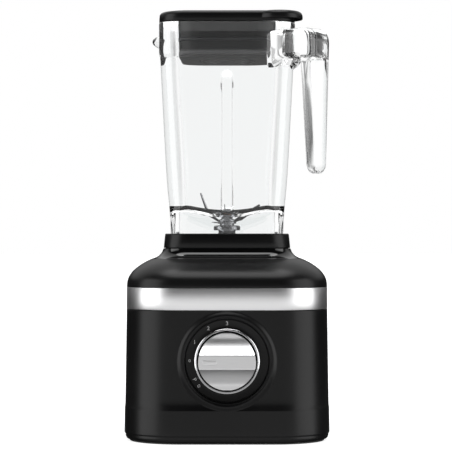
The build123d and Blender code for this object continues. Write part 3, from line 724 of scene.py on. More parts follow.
# ---- base ---------------------------------------------------------------------------
@dataclass
class MotorBase:
    """The black motor base: skirted body, metal band, shoulder and gloss neck."""

    skirt_x: float = 91.3
    skirt_y: float = 99.0
    top_x: float = 89.5
    top_y: float = 96.0
    radius: float = 50.0
    bottom_z: float = 6.5
    crease_z: float = 30.0
    band_low: float = 116.4
    band_high: float = 136.0
    neck_top: float = 170.1
    wall: float = 2.6
    dial_z: float = 72.4
    dish_radius: float = 36.5
    dish_floor: float = -90.0

    def build(self) -> None:
        """Make and dress every shell of the base."""
        self.body_shell()
        self.dial_surround()
        self.band()
        self.shoulder()
        self.neck()
        self.louvres()

    def wall_stations(self) -> list[Station]:
        """The outside of the lower body, from its foot to the band.

        Returns:
            Sections in millimetres, from the foot up.
        """
        x, y, r = self.skirt_x, self.skirt_y, self.radius
        return [
            Station(self.bottom_z, x - 0.5, y - 0.5, r - 0.5),
            Station(self.bottom_z + 0.6, x - 0.05, y - 0.05, r),
            Station(self.bottom_z + 1.6, x, y, r),
            Station(self.crease_z - 2.5, x - 0.25, y - 0.25, r),
            Station(self.crease_z - 1.0, x - 0.35, y - 0.35, r),
            Station(self.crease_z + 0.2, x - 0.45, y - 0.75, r),
            Station(self.crease_z + 1.8, x - 0.55, y - 1.35, r),
            Station(self.crease_z + 4.5, x - 0.65, y - 2.0, r),
            Station(self.crease_z + 9.0, x - 0.72, y - 2.3, r),
            Station(self.band_low - 2.0, self.top_x, self.top_y, r),
            Station(self.band_low - 0.5, self.top_x, self.top_y, r),
            Station(self.band_low, self.top_x - 0.45, self.top_y - 0.45, r),
        ]

    def wall_y(self, z: float) -> float:
        """How far forward the front wall stands at a height.

        Args:
            z: The height in millimetres.

        Returns:
            The wall's Y in millimetres, which is negative.
        """
        stations = self.wall_stations()
        for low, high in zip(stations, stations[1:]):
            if low.z <= z <= high.z:
                t = (z - low.z) / (high.z - low.z)
                return -(low.half_y + t * (high.half_y - low.half_y))
        return -self.top_y

    def shell(self, name: str, outside: Sequence[Station], wall: float) -> bpy.types.Object:
        """A closed shell of even wall from its outside stations.

        Args:
            name: The object's name.
            outside: Stations from bottom to top.
            wall: Wall thickness in millimetres.

        Returns:
            The shell.
        """
        inside = [Station(s.z, s.half_x - wall, s.half_y - wall, max(s.radius - wall, 2)) for s in outside]
        rings = [outline(s, 16, 20) for s in (*outside, *reversed(inside))]
        return MeshBench().skin(rings, loop=True).finish(name)

    def body_shell(self) -> None:
        """The lower body with the opening for the dial and the rear slots."""
        outside = self.wall_stations()
        dense = [*smooth_stations(outside[2:9], 3), *outside[9:]]
        shell = self.shell("body_shell", [*outside[:2], *dense], self.wall)
        hole = MeshBench().skin(self.front_turn([(38.6, -84.0), (38.6, -110.0)], 96), start_cap=True,
                                end_cap=True)
        tools = [hole.finish("dial_hole")]
        for row in range(7):
            tools.append(self.slot_tool(52.0 + 7.0 * row))
        combined(shell, tools, "DIFFERENCE")
        fit(shell, "base", Paint.BLACK_PLASTIC, "lower_housing")

    def slot_tool(self, z: float) -> bpy.types.Object:
        """A cutter for one rear louvre slot.

        Args:
            z: The slot's height in millimetres.

        Returns:
            The cutter.
        """
        profile = [square(0.0, 1.3, 1.25), square(20.0, 1.3, 1.25)]
        rings = [outline(Station(s.z, 31.0, 1.3, 1.25), 4, 5) for s in profile]
        turn = Matrix.Translation(Vector((0, self.skirt_y + 6, z)) * MM) @ Matrix.Rotation(pi / 2, 4, "X")
        return MeshBench().skin(placed(rings, turn), start_cap=True, end_cap=True).finish("slot_cutter")

    def front_turn(self, profile: Sequence[tuple[float, float]], parts: int = 120) -> list[Points]:
        """Rings turned about the dial's axis, from (radius, depth) pairs.

        Args:
            profile: Radius and depth pairs in millimetres.
            parts: Points round each ring.

        Returns:
            The rings in metres.
        """
        turns = [2 * pi * i / parts for i in range(parts)]
        rings = []
        for radius, depth in profile:
            rings.append([Vector((radius * cos(turn), depth, self.dial_z + radius * sin(turn))) * MM
                          for turn in turns])
        return rings

    def dial_surround(self) -> None:
        """The soft raised lip round the dial and the dish inside it."""
        lip = [(43.8, -0.05), (43.3, 0.1), (42.6, 0.5), (41.8, 1.1), (41.0, 1.65), (40.2, 2.05), (39.4, 2.25),
               (38.6, 2.2), (37.8, 1.85), (37.1, 1.3), (36.7, 0.6), (self.dish_radius, 0.0)]
        parts = 144
        rings = []
        for radius, rise in lip:
            ring = []
            for i in range(parts):
                angle = 2 * pi * i / parts
                z = self.dial_z + radius * sin(angle)
                ring.append(Vector((radius * cos(angle), self.wall_y(z) - rise, z)) * MM)
            rings.append(ring)
        floor = self.dish_floor
        inside = [(self.dish_radius, floor - 3.0), (36.45, floor - 0.6), (36.1, floor - 0.15), (35.4, floor),
                  (5.0, floor), (5.0, floor + 3.0), (39.5, floor + 3.0)]
        rings += self.front_turn(inside, parts)
        piece = MeshBench().skin(rings, loop=True).finish("dial_surround", 50.0)
        fit(piece, "base", Paint.BLACK_PLASTIC)

    def band(self) -> None:
        """The brushed aluminium band, with its edges rolled in."""
        x, y, r = self.top_x, self.top_y, self.radius
        low, high = self.band_low + 0.15, self.band_high - 0.15
        outside = [
            Station(low, x - 0.45, y - 0.45, r),
            Station(low + 0.12, x - 0.12, y - 0.12, r),
            Station(low + 0.45, x, y, r),
            Station(high - 0.45, x - 0.1, y - 0.1, r),
            Station(high - 0.12, x - 0.22, y - 0.22, r),
            Station(high, x - 0.5, y - 0.5, r),
        ]
        fit(self.shell("metal_band", outside, 1.0), "base", Paint.ALUMINIUM, "trim_band")

    def shoulder(self) -> None:
        """The rounded black shoulder between the band and the neck."""
        profile = [(136.0, 89.35, 50.0), (138.5, 89.3, 50.0), (143.0, 88.5, 49.0), (147.2, 86.4, 47.2),
                   (150.8, 83.5, 45.0), (154.0, 79.7, 41.5), (156.8, 75.6, 38.0), (159.2, 71.2, 34.2),
                   (160.85, 67.6, 31.0)]
        extra = self.top_y - self.top_x
        stations = [Station(z, h, h + extra * (h - 67.6) / (89.35 - 67.6), r) for z, h, r in profile]
        lead = [Station(136.0, 88.8, 88.8 + extra, 50.0)]
        outside = [*lead, *smooth_stations(stations, 3)]
        inside = [Station(s.z - 1.6, s.half_x - self.wall, s.half_y - self.wall, s.radius - self.wall)
                  for s in outside[1:]]
        rings = [outline(s, 16, 20) for s in (*outside, square(160.85, 40.0, 25.0), square(158.0, 40.0, 25.0),
                                              *reversed(inside))]
        piece = MeshBench().skin(rings, loop=True).finish("shoulder_shell")
        fit(piece, "base", Paint.BLACK_PLASTIC, "upper_housing")

    def neck(self) -> None:
        """The concave gloss neck and the seat well inside it."""
        profile = [(160.9, 67.65, 31.0), (161.6, 65.2, 28.8), (163.1, 62.2, 26.5), (164.8, 60.0, 24.6),
                   (166.8, 58.4, 23.0), (169.0, 57.45, 22.2), (169.9, 57.15, 22.0)]
        outside = smooth_stations([square(*row) for row in profile], 4)
        inside = [square(self.neck_top, 56.6, 21.6), square(self.neck_top, 51.6, 17.4),
                  square(169.7, 51.1, 17.0), square(160.95, 51.0, 17.0)]
        rings = [outline(s, 16, 20) for s in (*outside, *inside)]
        piece = MeshBench().skin(rings, loop=True).finish("gloss_neck")
        fit(piece, "base", Paint.GLOSS_BLACK, "neck_ring")

    def louvres(self) -> None:
        """Slanted slats behind the rear slots."""
        slat = Louvre(width=66.0, depth=5.0, thickness=1.2, count=8, pitch=7.0)
        fit(slat.build("rear_slats", Vector((0, self.skirt_y - 6.2, 48.6))), "base", Paint.BLACK_PLASTIC)


@dataclass
class Louvre:
    """A stack of slanted slats, repeated upward."""

    width: float
    depth: float
    thickness: float
    count: int
    pitch: float

    def build(self, name: str, start: Vector) -> bpy.types.Object:
        """Make the slats.

        Args:
            name: The object's name.
            start: Middle of the lowest slat, in millimetres.

        Returns:
            One plain mesh with all the slats.
        """
        tree = RepeatTree("slat_stack")
        size = tree.number("Width", self.width * MM), tree.number("Depth", self.depth * MM)
        thickness = tree.number("Thickness", self.thickness * MM)
        shape = tree.box(*size, thickness)
        turned = tree.node("GeometryNodeTransform", {}, {"Geometry": shape, "Rotation": (radians(-32), 0, 0)})
        line = tree.node("GeometryNodeMeshLine", {}, {"Count": self.count, "Start Location": start * MM,
                                                      "Offset": (0, 0, self.pitch * MM)})
        return tree.repeat(turned, line).build(name)


class RepeatTree:
    """A Geometry Nodes tree that repeats one shape over points."""

    def __init__(self, name: str) -> None:
        """Start a tree with a geometry output.

        Args:
            name: The tree's name.
        """
        self.tree = bpy.data.node_groups.new(name, "GeometryNodeTree")
        self.tree.interface.new_socket("Geometry", in_out="OUTPUT", socket_type="NodeSocketGeometry")
        self.inlet = self.tree.nodes.new("NodeGroupInput")
        self.values: dict[str, object] = {}
        self.result: bpy.types.NodeSocket | None = None

    def number(self, label: str, value: float) -> bpy.types.NodeSocket:
        """Add a named size input.

        Args:
            label: The input's name.
            value: Its value on this piece.

        Returns:
            The socket inside the tree.
        """
        item = self.tree.interface.new_socket(label, in_out="INPUT", socket_type="NodeSocketFloat")
        self.values[item.identifier] = value
        return self.inlet.outputs[label]

    def node(self, kind: str, settings: Mapping[str, object], sockets: Mapping[object, object],
             output: object = 0) -> bpy.types.NodeSocket:
        """Add a node.

        Args:
            kind: The node's type.
            settings: Its properties.
            sockets: Its inputs, as values or sockets.
            output: The output to return.

        Returns:
            The chosen output socket.
        """
        node = self.tree.nodes.new(kind)
        for key, value in settings.items():
            setattr(node, key, value)
        for key, value in sockets.items():
            if isinstance(value, bpy.types.NodeSocket):
                self.tree.links.new(value, node.inputs[key])
            else:
                node.inputs[key].default_value = value
        return node.outputs[output]

    def box(self, width: object, depth: object, height: object) -> bpy.types.NodeSocket:
        """A box with the given size sockets."""
        size = self.node("ShaderNodeCombineXYZ", {}, {"X": width, "Y": depth, "Z": height})
        return self.node("GeometryNodeMeshCube", {}, {"Size": size})

    def repeat(self, shape: bpy.types.NodeSocket, points: bpy.types.NodeSocket,
               rotation: object = (0.0, 0.0, 0.0)) -> "RepeatTree":
        """Put the shape on every point.

        Args:
            shape: The shape's geometry.
            points: The points' geometry.
            rotation: Rotation of each copy, as a value or a socket.

        Returns:
            The tree, for chaining.
        """
        copies = self.node("GeometryNodeInstanceOnPoints", {}, {"Points": points, "Instance": shape,
                                                                "Rotation": rotation})
        self.result = self.node("GeometryNodeRealizeInstances", {}, {"Geometry": copies})
        return self

    def build(self, name: str) -> bpy.types.Object:
        """Evaluate the tree into a plain mesh object.

        Args:
            name: Name of the object to make.

        Returns:
            The plain mesh object.
        """
        blank = SHELF.take(Paint.BLACK_PLASTIC)
        painted = self.node("GeometryNodeSetMaterial", {}, {"Geometry": self.result, "Material": blank})
        outlet = self.tree.nodes.new("NodeGroupOutput")
        self.tree.links.new(painted, outlet.inputs[0])
        carrier = bpy.data.objects.new(name, bpy.data.meshes.new(name))
        bpy.context.scene.collection.objects.link(carrier)
        modifier = carrier.modifiers.new("repeat", "NODES")
        modifier.node_group = self.tree
        for identifier, value in self.values.items():
            modifier[identifier] = value
        graph = bpy.context.evaluated_depsgraph_get()
        mesh = bpy.data.meshes.new_from_object(carrier.evaluated_get(graph))
        bpy.data.objects.remove(carrier)
        return mesh_object(mesh, name)


# ---- dial ---------------------------------------------------------------------------
@dataclass
class SpeedDial:
    """The front dial: bezel, knob with its grip bar, and printed marks."""

    base: MotorBase
    knob_radius: float = 24.8
    rim_y: float = -103.4
    face_y: float = -114.0
    back_y: float = -91.6
    grip: float = 6.2
    mark_radius: float = 32.6

    def build(self) -> None:
        """Make and dress the dial's pieces."""
        self.bezel()
        self.knob()
        self.pointer()
        self.marks()

    def bezel(self) -> None:
        """The polished ring round the knob."""
        profile = [(26.2, -90.05), (26.2, -96.6), (26.35, -97.6), (26.8, -98.2), (27.4, -98.4), (28.0, -98.2),
                   (28.5, -97.7), (28.85, -96.9), (29.0, -96.0), (29.0, -90.05)]
        piece = MeshBench().skin(self.base.front_turn(profile, 128), loop=True).finish("bezel_ring")
        fit(piece, "base", Paint.CHROME, "dial_bezel")

    def face_depth(self, height: float) -> float:
        """Depth of the knob's face at a height from its middle: a bar between two scoops.

        Args:
            height: Height from the knob's middle in millimetres.

        Returns:
            The face's Y in millimetres.
        """
        beyond = abs(height) - self.grip
        if beyond <= 0:
            return self.face_y
        reach = self.knob_radius - self.grip - 4.0
        t = min(1.0, beyond / reach)
        curve = (1.0 - t) ** 1.75
        return self.rim_y + (self.face_y + 1.2 - self.rim_y) * curve

    def knob(self) -> None:
        """The satin knob, its face cut as rows of a disc."""
        radius = self.knob_radius
        heights = self.face_rows()
        columns = 40
        bench = MeshBench()
        rows = []
        for height in heights:
            half = sqrt(max(radius ** 2 - height ** 2, 0.0))
            depth = self.face_depth(height)
            rows.append([Vector((half * (2 * i / columns - 1), depth, self.base.dial_z + height)) * MM
                         for i in range(columns + 1)])
        verts = [[bench.bm.verts.new(p) for p in row] for row in rows]
        for low, high in zip(verts, verts[1:]):
            for i in range(columns):
                bench.bm.faces.new((low[i], low[i + 1], high[i + 1], high[i]))
        rim = [*verts[0], *(row[-1] for row in verts[1:-1]), *reversed(verts[-1]),
               *(row[0] for row in reversed(verts[1:-1]))]
        back = [bench.bm.verts.new(Vector((v.co.x, self.back_y * MM, v.co.z))) for v in rim]
        for i, vert in enumerate(rim):
            j = (i + 1) % len(rim)
            bench.bm.faces.new((vert, rim[j], back[j], back[i]))
        bench.bm.faces.new(back)
        piece = bevelled(bench.finish("knob_face"), 0.45, 3, 40.0)
        fit(piece, "dial", Paint.SATIN_METAL, "knob")

    def face_rows(self) -> list[float]:
        """Heights of the rows that cut up the knob's face, from bottom to top.

        Returns:
            Heights from the knob's middle in millimetres.
        """
        radius = self.knob_radius
        upper = [self.grip + 0.002]
        upper += [self.grip + (radius - 0.25 - self.grip) * (k / 26) ** 1.15 for k in range(1, 27)]
        middle = [self.grip * (k / 5 - 1) for k in range(11)]
        return [-h for h in reversed(upper)] + middle + upper

    def pointer(self) -> None:
        """The raised pointer on the bar, at the dial's left at rest."""
        rings = []
        for depth, shrink in ((-113.9, 0.0), (-114.3, 0.0), (-114.45, 0.12), (-114.5, 0.35)):
            station = Station(0.0, 6.15 - shrink, 2.25 - shrink, 1.5 - shrink)
            ring = [Vector((p.x, 0, p.y)) for p in outline(station, 6, 6)]
            rings.append([p + Vector((-15.0, depth, self.base.dial_z)) * MM for p in ring])
        piece = MeshBench().skin(rings, start_cap=True, end_cap=True).finish("knob_pointer")
        fit(piece, "dial", Paint.SATIN_METAL)

    def marks(self) -> None:
        """Printed numbers from 0 to 3 and the pulse mark round the dial."""
        for index, text in enumerate(("P", "0", "1", "2", "3")):
            angle = radians(210.0 - 30.0 * index)
            self.mark(f"mark_{text}", text, angle, self.mark_radius, 3.0 if text == "0" else 3.8)
        self.cube_mark(radians(216.0), self.mark_radius + 0.2)

    def mark(self, name: str, text: str, angle: float, radius: float, size: float) -> None:
        """One printed character.

        Args:
            name: The object's name.
            text: The character.
            angle: Where it stands round the dial, from the right, counter-clockwise.
            radius: Distance from the dial's middle.
            size: Its height.
        """
        curve = bpy.data.curves.new(name, "FONT")
        curve.body = text
        curve.size = size * 1.25 * MM
        curve.align_x = "CENTER"
        curve.align_y = "CENTER"
        curve.extrude = 0.00004
        curve.offset = 0.00005
        holder = bpy.data.objects.new(name + "_text", curve)
        bpy.context.scene.collection.objects.link(holder)
        graph = bpy.context.evaluated_depsgraph_get()
        mesh = bpy.data.meshes.new_from_object(holder.evaluated_get(graph))
        bpy.data.objects.remove(holder)
        lean = Matrix.Rotation(radians(-60) if text == "P" else 0.0, 4, "Z")
        place = Vector((radius * cos(angle), self.base.dish_floor - 0.06,
                        self.base.dial_z + radius * sin(angle)))
        mesh.transform(Matrix.Translation(place * MM) @ Matrix.Rotation(pi / 2, 4, "X") @ lean)
        piece = mesh_object(mesh, name)
        fit(piece, "base", Paint.INK)

    def cube_mark(self, angle: float, radius: float) -> None:
        """A small outlined ice cube beside the pulse mark.

        Args:
            angle: Where it stands round the dial, as for a character.
            radius: Distance from the dial's middle.
        """
        half, stroke, beside = 1.15, 0.35, angle + 0.10
        rings = []
        for depth, inner in ((-0.02, 0.0), (-0.1, 0.0), (-0.1, stroke), (-0.02, stroke)):
            station = Station(0.0, half - inner, half - inner, 0.5)
            ring = [Vector((p.x, 0, p.y)) for p in outline(station, 3, 4)]
            rings.append([p + Vector((0, depth, 0)) * MM for p in ring])
        place = Vector((radius * cos(beside), self.base.dish_floor, self.base.dial_z + radius * sin(beside)))
        moved = placed(rings, Matrix.Translation(place * MM) @ Matrix.Rotation(-0.5, 4, "Y"))
        piece = MeshBench().skin(moved, loop=True).finish("mark_cube")
        fit(piece, "base", Paint.INK)


# ---- jar ----------------------------------------------------------------------------
@dataclass
class Jar:
    """The clear square jar with ribs, handle and lip, and its black collar."""

    foot_z: float = 174.0
    rim_z: float = 372.0
    floor_z: float = 187.6
    hub_radius: float = 13.0
    slope: float = 0.38
    rib_radius: float = 6.0
    rib_depth: float = 2.5
    rib_top: float = 322.0
    side: int = 40
    corner: int = 14
    outside: list[Station] = field(default_factory=lambda: [
        square(174.0, 49.9, 16.0), square(184.0, 50.5, 16.1), square(203.0, 51.4, 16.3),
        square(232.0, 54.0, 16.6), square(280.0, 56.7, 16.8), square(327.0, 59.1, 17.0),
        square(339.0, 59.7, 17.0), square(344.5, 60.7, 17.0), square(358.0, 60.75, 17.0),
        square(371.0, 60.8, 17.0),
    ])
    inside: list[Station] = field(default_factory=lambda: [
        square(187.6, 47.6, 13.8), square(232.0, 49.9, 13.8), square(280.0, 52.5, 13.8),
        square(327.0, 55.0, 13.8), square(373.0, 56.8, 13.8),
    ])

    def build(self) -> None:
        """Make and dress the jar, its handle and its collar."""
        jar = self.vessel()
        combined(jar, [Handle().build(), self.lip()], "UNION")
        fit(jar, "jar_assembly", Paint.CLEAR, "jar")
        self.collar()

    def station_at(self, stations: Sequence[Station], z: float) -> Station:
        """The section of a smooth wall at one height.

        Args:
            stations: The wall's sections, from the foot up.
            z: The height in millimetres.

        Returns:
            The section there.
        """
        dense = smooth_stations(stations, 12)
        for low, high in zip(dense, dense[1:]):
            if low.z <= z <= high.z:
                t = (z - low.z) / max(high.z - low.z, 1e-9)
                half = low.half_x + t * (high.half_x - low.half_x)
                return square(z, half, low.radius + t * (high.radius - low.radius))
        return stations[0] if z < stations[0].z else stations[-1]

    def floor_at(self, point: Vector) -> float:
        """Height of the sloped floor under a point, in millimetres."""
        away = hypot(point.x, point.y) / MM
        return self.floor_z + 2.2 + max(0.0, away - self.hub_radius) * self.slope

    def rib_push(self, point: Vector, half: float, z: float) -> Vector:
        """How far the nearest rib moves an inner wall point inward.

        Args:
            point: The wall point, in metres.
            half: The wall's half-width at its height.
            z: The point's height in millimetres.

        Returns:
            The move, in metres.
        """
        across_x = abs(abs(point.x) - half * MM) < abs(abs(point.y) - half * MM)
        side_way = abs(point.y if across_x else point.x) / MM
        above = max(0.0, z - self.rib_top)
        reach = hypot(side_way, above) / self.rib_radius
        if reach >= 1.0:
            return Vector()
        push = self.rib_depth * sqrt(1.0 - reach ** 2) * min(1.0, 3.0 * (1.0 - reach))
        if across_x:
            return Vector((-push if point.x > 0 else push, 0, 0)) * MM
        return Vector((0, -push if point.y > 0 else push, 0)) * MM

    def inner_ring(self, share: float) -> Points:
        """One ring of the inner wall.

        Args:
            share: 0 at the rim, 1 where the wall meets the floor.

        Returns:
            The ring's points.
        """
        top = cut_outline(self.station_at(self.inside, self.rim_z - 1), self.side, self.corner)
        foot = cut_outline(self.station_at(self.inside, 205.0), self.side, self.corner)
        ring = []
        for index in range(len(top)):
            low = self.floor_at(foot[index]) + 1.2
            z = self.rim_z - 1 + share * (low - self.rim_z + 1)
            station = self.station_at(self.inside, z)
            point = cut_outline(station, self.side, self.corner)[index]
            ring.append(point + self.rib_push(point, station.half_x, z))
        return ring

    def vessel(self) -> bpy.types.Object:
        """The jar's wall and floor as one closed skin.

        Returns:
            The jar's closed wall and floor.
        """
        outer = [outline(s, self.side, self.corner) for s in smooth_stations(self.outside, 5)]
        rim = [square(371.6, 60.55, 17.0), square(372.0, 59.9, 17.4)]
        lip = [square(372.0, 57.6, 13.6), square(371.7, 57.0, 13.8)]
        rings = outer + [outline(s, self.side, self.corner) for s in rim]
        rings += [cut_outline(s, self.side, self.corner) for s in lip]
        shares = [0.0, 0.06, 0.12, 0.16, 0.19, 0.205, 0.215, 0.225, 0.235, 0.245, 0.255, 0.265, 0.28, 0.3]
        shares += [0.3 + 0.7 * k / 30 for k in range(1, 31)]
        rings += [self.inner_ring(share) for share in shares]
        rings += self.floor_rings(rings[-1])
        rings += self.under_rings()
        return MeshBench().skin(rings, loop=True).finish("clear_jar", 40.0)

    def floor_rings(self, wall_foot: Points) -> list[Points]:
        """Rings from the wall's foot down the sloped floor to the hub seat.

        Args:
            wall_foot: The inner wall's lowest ring.

        Returns:
            The rings, from outside in.
        """
        hub = outline(square(0.0, self.hub_radius, self.hub_radius - 0.01), self.side, self.corner)
        rings = []
        for share in (0.03, 0.08, 0.2, 0.35, 0.5, 0.65, 0.8, 0.92, 1.0):
            ring = []
            for start, end in zip(wall_foot, hub):
                point = Vector((start.x + share * (end.x - start.x), start.y + share * (end.y - start.y), 0))
                lift = 0.5 if share < 0.05 else 0.0
                ring.append(Vector((point.x, point.y, (self.floor_at(point) + lift) * MM)))
            rings.append(ring)
        for radius, z in ((12.6, self.floor_z + 1.4), (12.5, self.floor_z), (8.1, self.floor_z)):
            rings.append(outline(square(z, radius, radius - 0.01), self.side, self.corner))
        return rings

    def under_rings(self) -> list[Points]:
        """Rings of the underside, from the hub out and down inside the skirt.

        Returns:
            The rings, from the hub out.
        """
        under = self.floor_z - 4.0
        cone = self.floor_z + 2.2 - 3.4
        rings = [outline(square(under, r, r - 0.01), self.side, self.corner) for r in (8.1, 14.6, 15.0)]
        rings[-1] = [p + Vector((0, 0, 0.4)) * MM for p in rings[-1]]
        for share in (0.0, 0.04, 0.3, 0.6, 0.97, 1.0):
            radius = 15.0 + share * 28.4
            soft = radius - 0.01 + share * (11.0 - radius)
            ring = outline(square(0.0, radius, soft), self.side, self.corner)
            rings.append([Vector((p.x, p.y, (cone + (p.length / MM - self.hub_radius) * self.slope) * MM))
                          for p in ring])
        rings.append(outline(square(self.foot_z, 43.4, 11.0), self.side, self.corner))
        return rings

    def lip(self) -> bpy.types.Object:
        """The pouring lip at the rear-left corner.

        Returns:
            The lip, as a closed skin.
        """
        rings = []
        for t, half, low, high in ((70.0, 15.0, 350.0, 371.4), (76.0, 13.6, 352.5, 371.4),
                                   (80.5, 12.4, 354.8, 371.3), (84.5, 11.4, 357.4, 371.0),
                                   (88.5, 10.4, 358.9, 370.4), (91.0, 8.8, 360.2, 369.6),
                                   (92.4, 6.8, 361.8, 368.4), (93.0, 3.8, 363.4, 366.8)):
            middle, tall = (low + high) / 2, (high - low) / 2
            ring = []
            for i in range(32):
                angle = 2 * pi * i / 32
                ring.append(Vector((t, half * cos(angle), middle + tall * sin(angle))) * MM)
            rings.append(ring)
        turn = Matrix.Rotation(radians(135), 4, "Z")
        return MeshBench().skin(placed(rings, turn), start_cap=True, end_cap=True).finish("pour_lip")

    def collar(self) -> None:
        """The matte collar with its locating skirt."""
        outside = [square(170.5, 56.3, 21.6), square(170.62, 56.65, 22.0), square(171.0, 56.8, 22.0),
                   square(176.0, 56.35, 22.0), square(182.2, 55.72, 22.0), square(182.9, 55.5, 21.8),
                   square(183.3, 55.05, 21.5), square(183.4, 54.4, 21.0)]
        inside = [square(183.4, 51.6, 17.5), square(183.1, 51.0, 16.8), square(182.0, 50.6, 16.3),
                  square(174.0, 50.0, 16.1), square(174.0, 44.0, 11.0), square(163.6, 44.0, 11.0),
                  square(163.4, 44.3, 11.2), square(163.4, 49.6, 15.7), square(163.8, 50.0, 16.0),
                  square(170.5, 50.0, 16.0)]
        rings = [outline(s, 16, 16) for s in (*outside, *inside)]
        piece = MeshBench().skin(rings, loop=True).finish("jar_collar_shell")
        fit(piece, "jar_assembly", Paint.BLACK_PLASTIC, "jar_collar")


@dataclass
class Handle:
    """The jar's open-ended handle, swept from the corner over the elbow and down."""

    angle: float = -45.0
    top_z: float = 364.0
    reach: float = 115.0
    bottom_z: float = 236.0
    edge: float = 4.7

    def stations(self) -> list[tuple[tuple[float, float], tuple[float, float], float]]:
        """Outer point, inner point and half-width along the sweep.

        Returns:
            The sections, in order along the handle.
        """
        rows = [((68.0, 363.2), (68.0, 330.0), 18.0), ((73.0, 363.6), (73.0, 331.5), 17.2),
                ((77.0, 363.9), (77.5, 333.8), 16.0), ((81.0, 364.0), (80.5, 336.6), 14.9),
                ((86.0, 364.0), (84.5, 338.3), 14.2), ((92.0, 364.0), (90.0, 338.9), 14.0),
                ((98.0, 364.0), (95.0, 339.0), 14.0)]
        for step in range(9):
            turn = step / 8 * pi / 2
            outer = (104.0 + 11.0 * sin(turn), 353.0 + 11.0 * cos(turn))
            inner = (97.0 + 6.2 * sin(turn), 332.8 + 6.2 * cos(turn))
            rows.append((outer, inner, 14.0))
        for step in range(1, 11):
            share = step / 10
            z = 326.0 + share * (244.5 - 326.0)
            inner_t = 103.2 + share * 2.5
            rows.append(((115.0 + 0.6 * share, z), (inner_t, z), 14.0 - 3.8 * share))
        for z, shrink in ((242.5, 0.4), (240.2, 1.2), (238.4, 2.3), (237.1, 3.7), (236.3, 5.2), (236.0, 6.8)):
            rows.append(((115.6 - 0.6 * shrink, z), (105.8 + 0.6 * shrink, z), 10.2 - shrink))
        return rows

    def build(self) -> bpy.types.Object:
        """Sweep the handle as one closed skin.

        Returns:
            The handle.
        """
        rings = []
        for outer, inner, half in self.stations():
            thick = hypot(outer[0] - inner[0], outer[1] - inner[1]) / 2
            middle = Vector(((outer[0] + inner[0]) / 2, 0, (outer[1] + inner[1]) / 2))
            up = Vector((outer[0] - inner[0], 0, outer[1] - inner[1])).normalized()
            edge = min(self.edge, thick - 0.3, half - 0.3)
            flat = outline(Station(0.0, half, thick, edge), 7, 7)
            rings.append([(middle + Vector((0, 1, 0)) * p.x / MM + up * p.y / MM) * MM for p in flat])
        turn = Matrix.Rotation(radians(self.angle), 4, "Z")
        return MeshBench().skin(placed(rings, turn), start_cap=True, end_cap=True).finish("jar_handle")


# ---- blades -------------------------------------------------------------------------
@dataclass(frozen=True)
class Wing:
    """One ground wing of a blade: its bends, in (radius, height), and its widths."""

    name: str
    angle: float
    root_z: float
    path: tuple[tuple[float, float], ...]
    root_width: float
    tip_width: float
    upright: bool = False
    pitch: float = 0.0


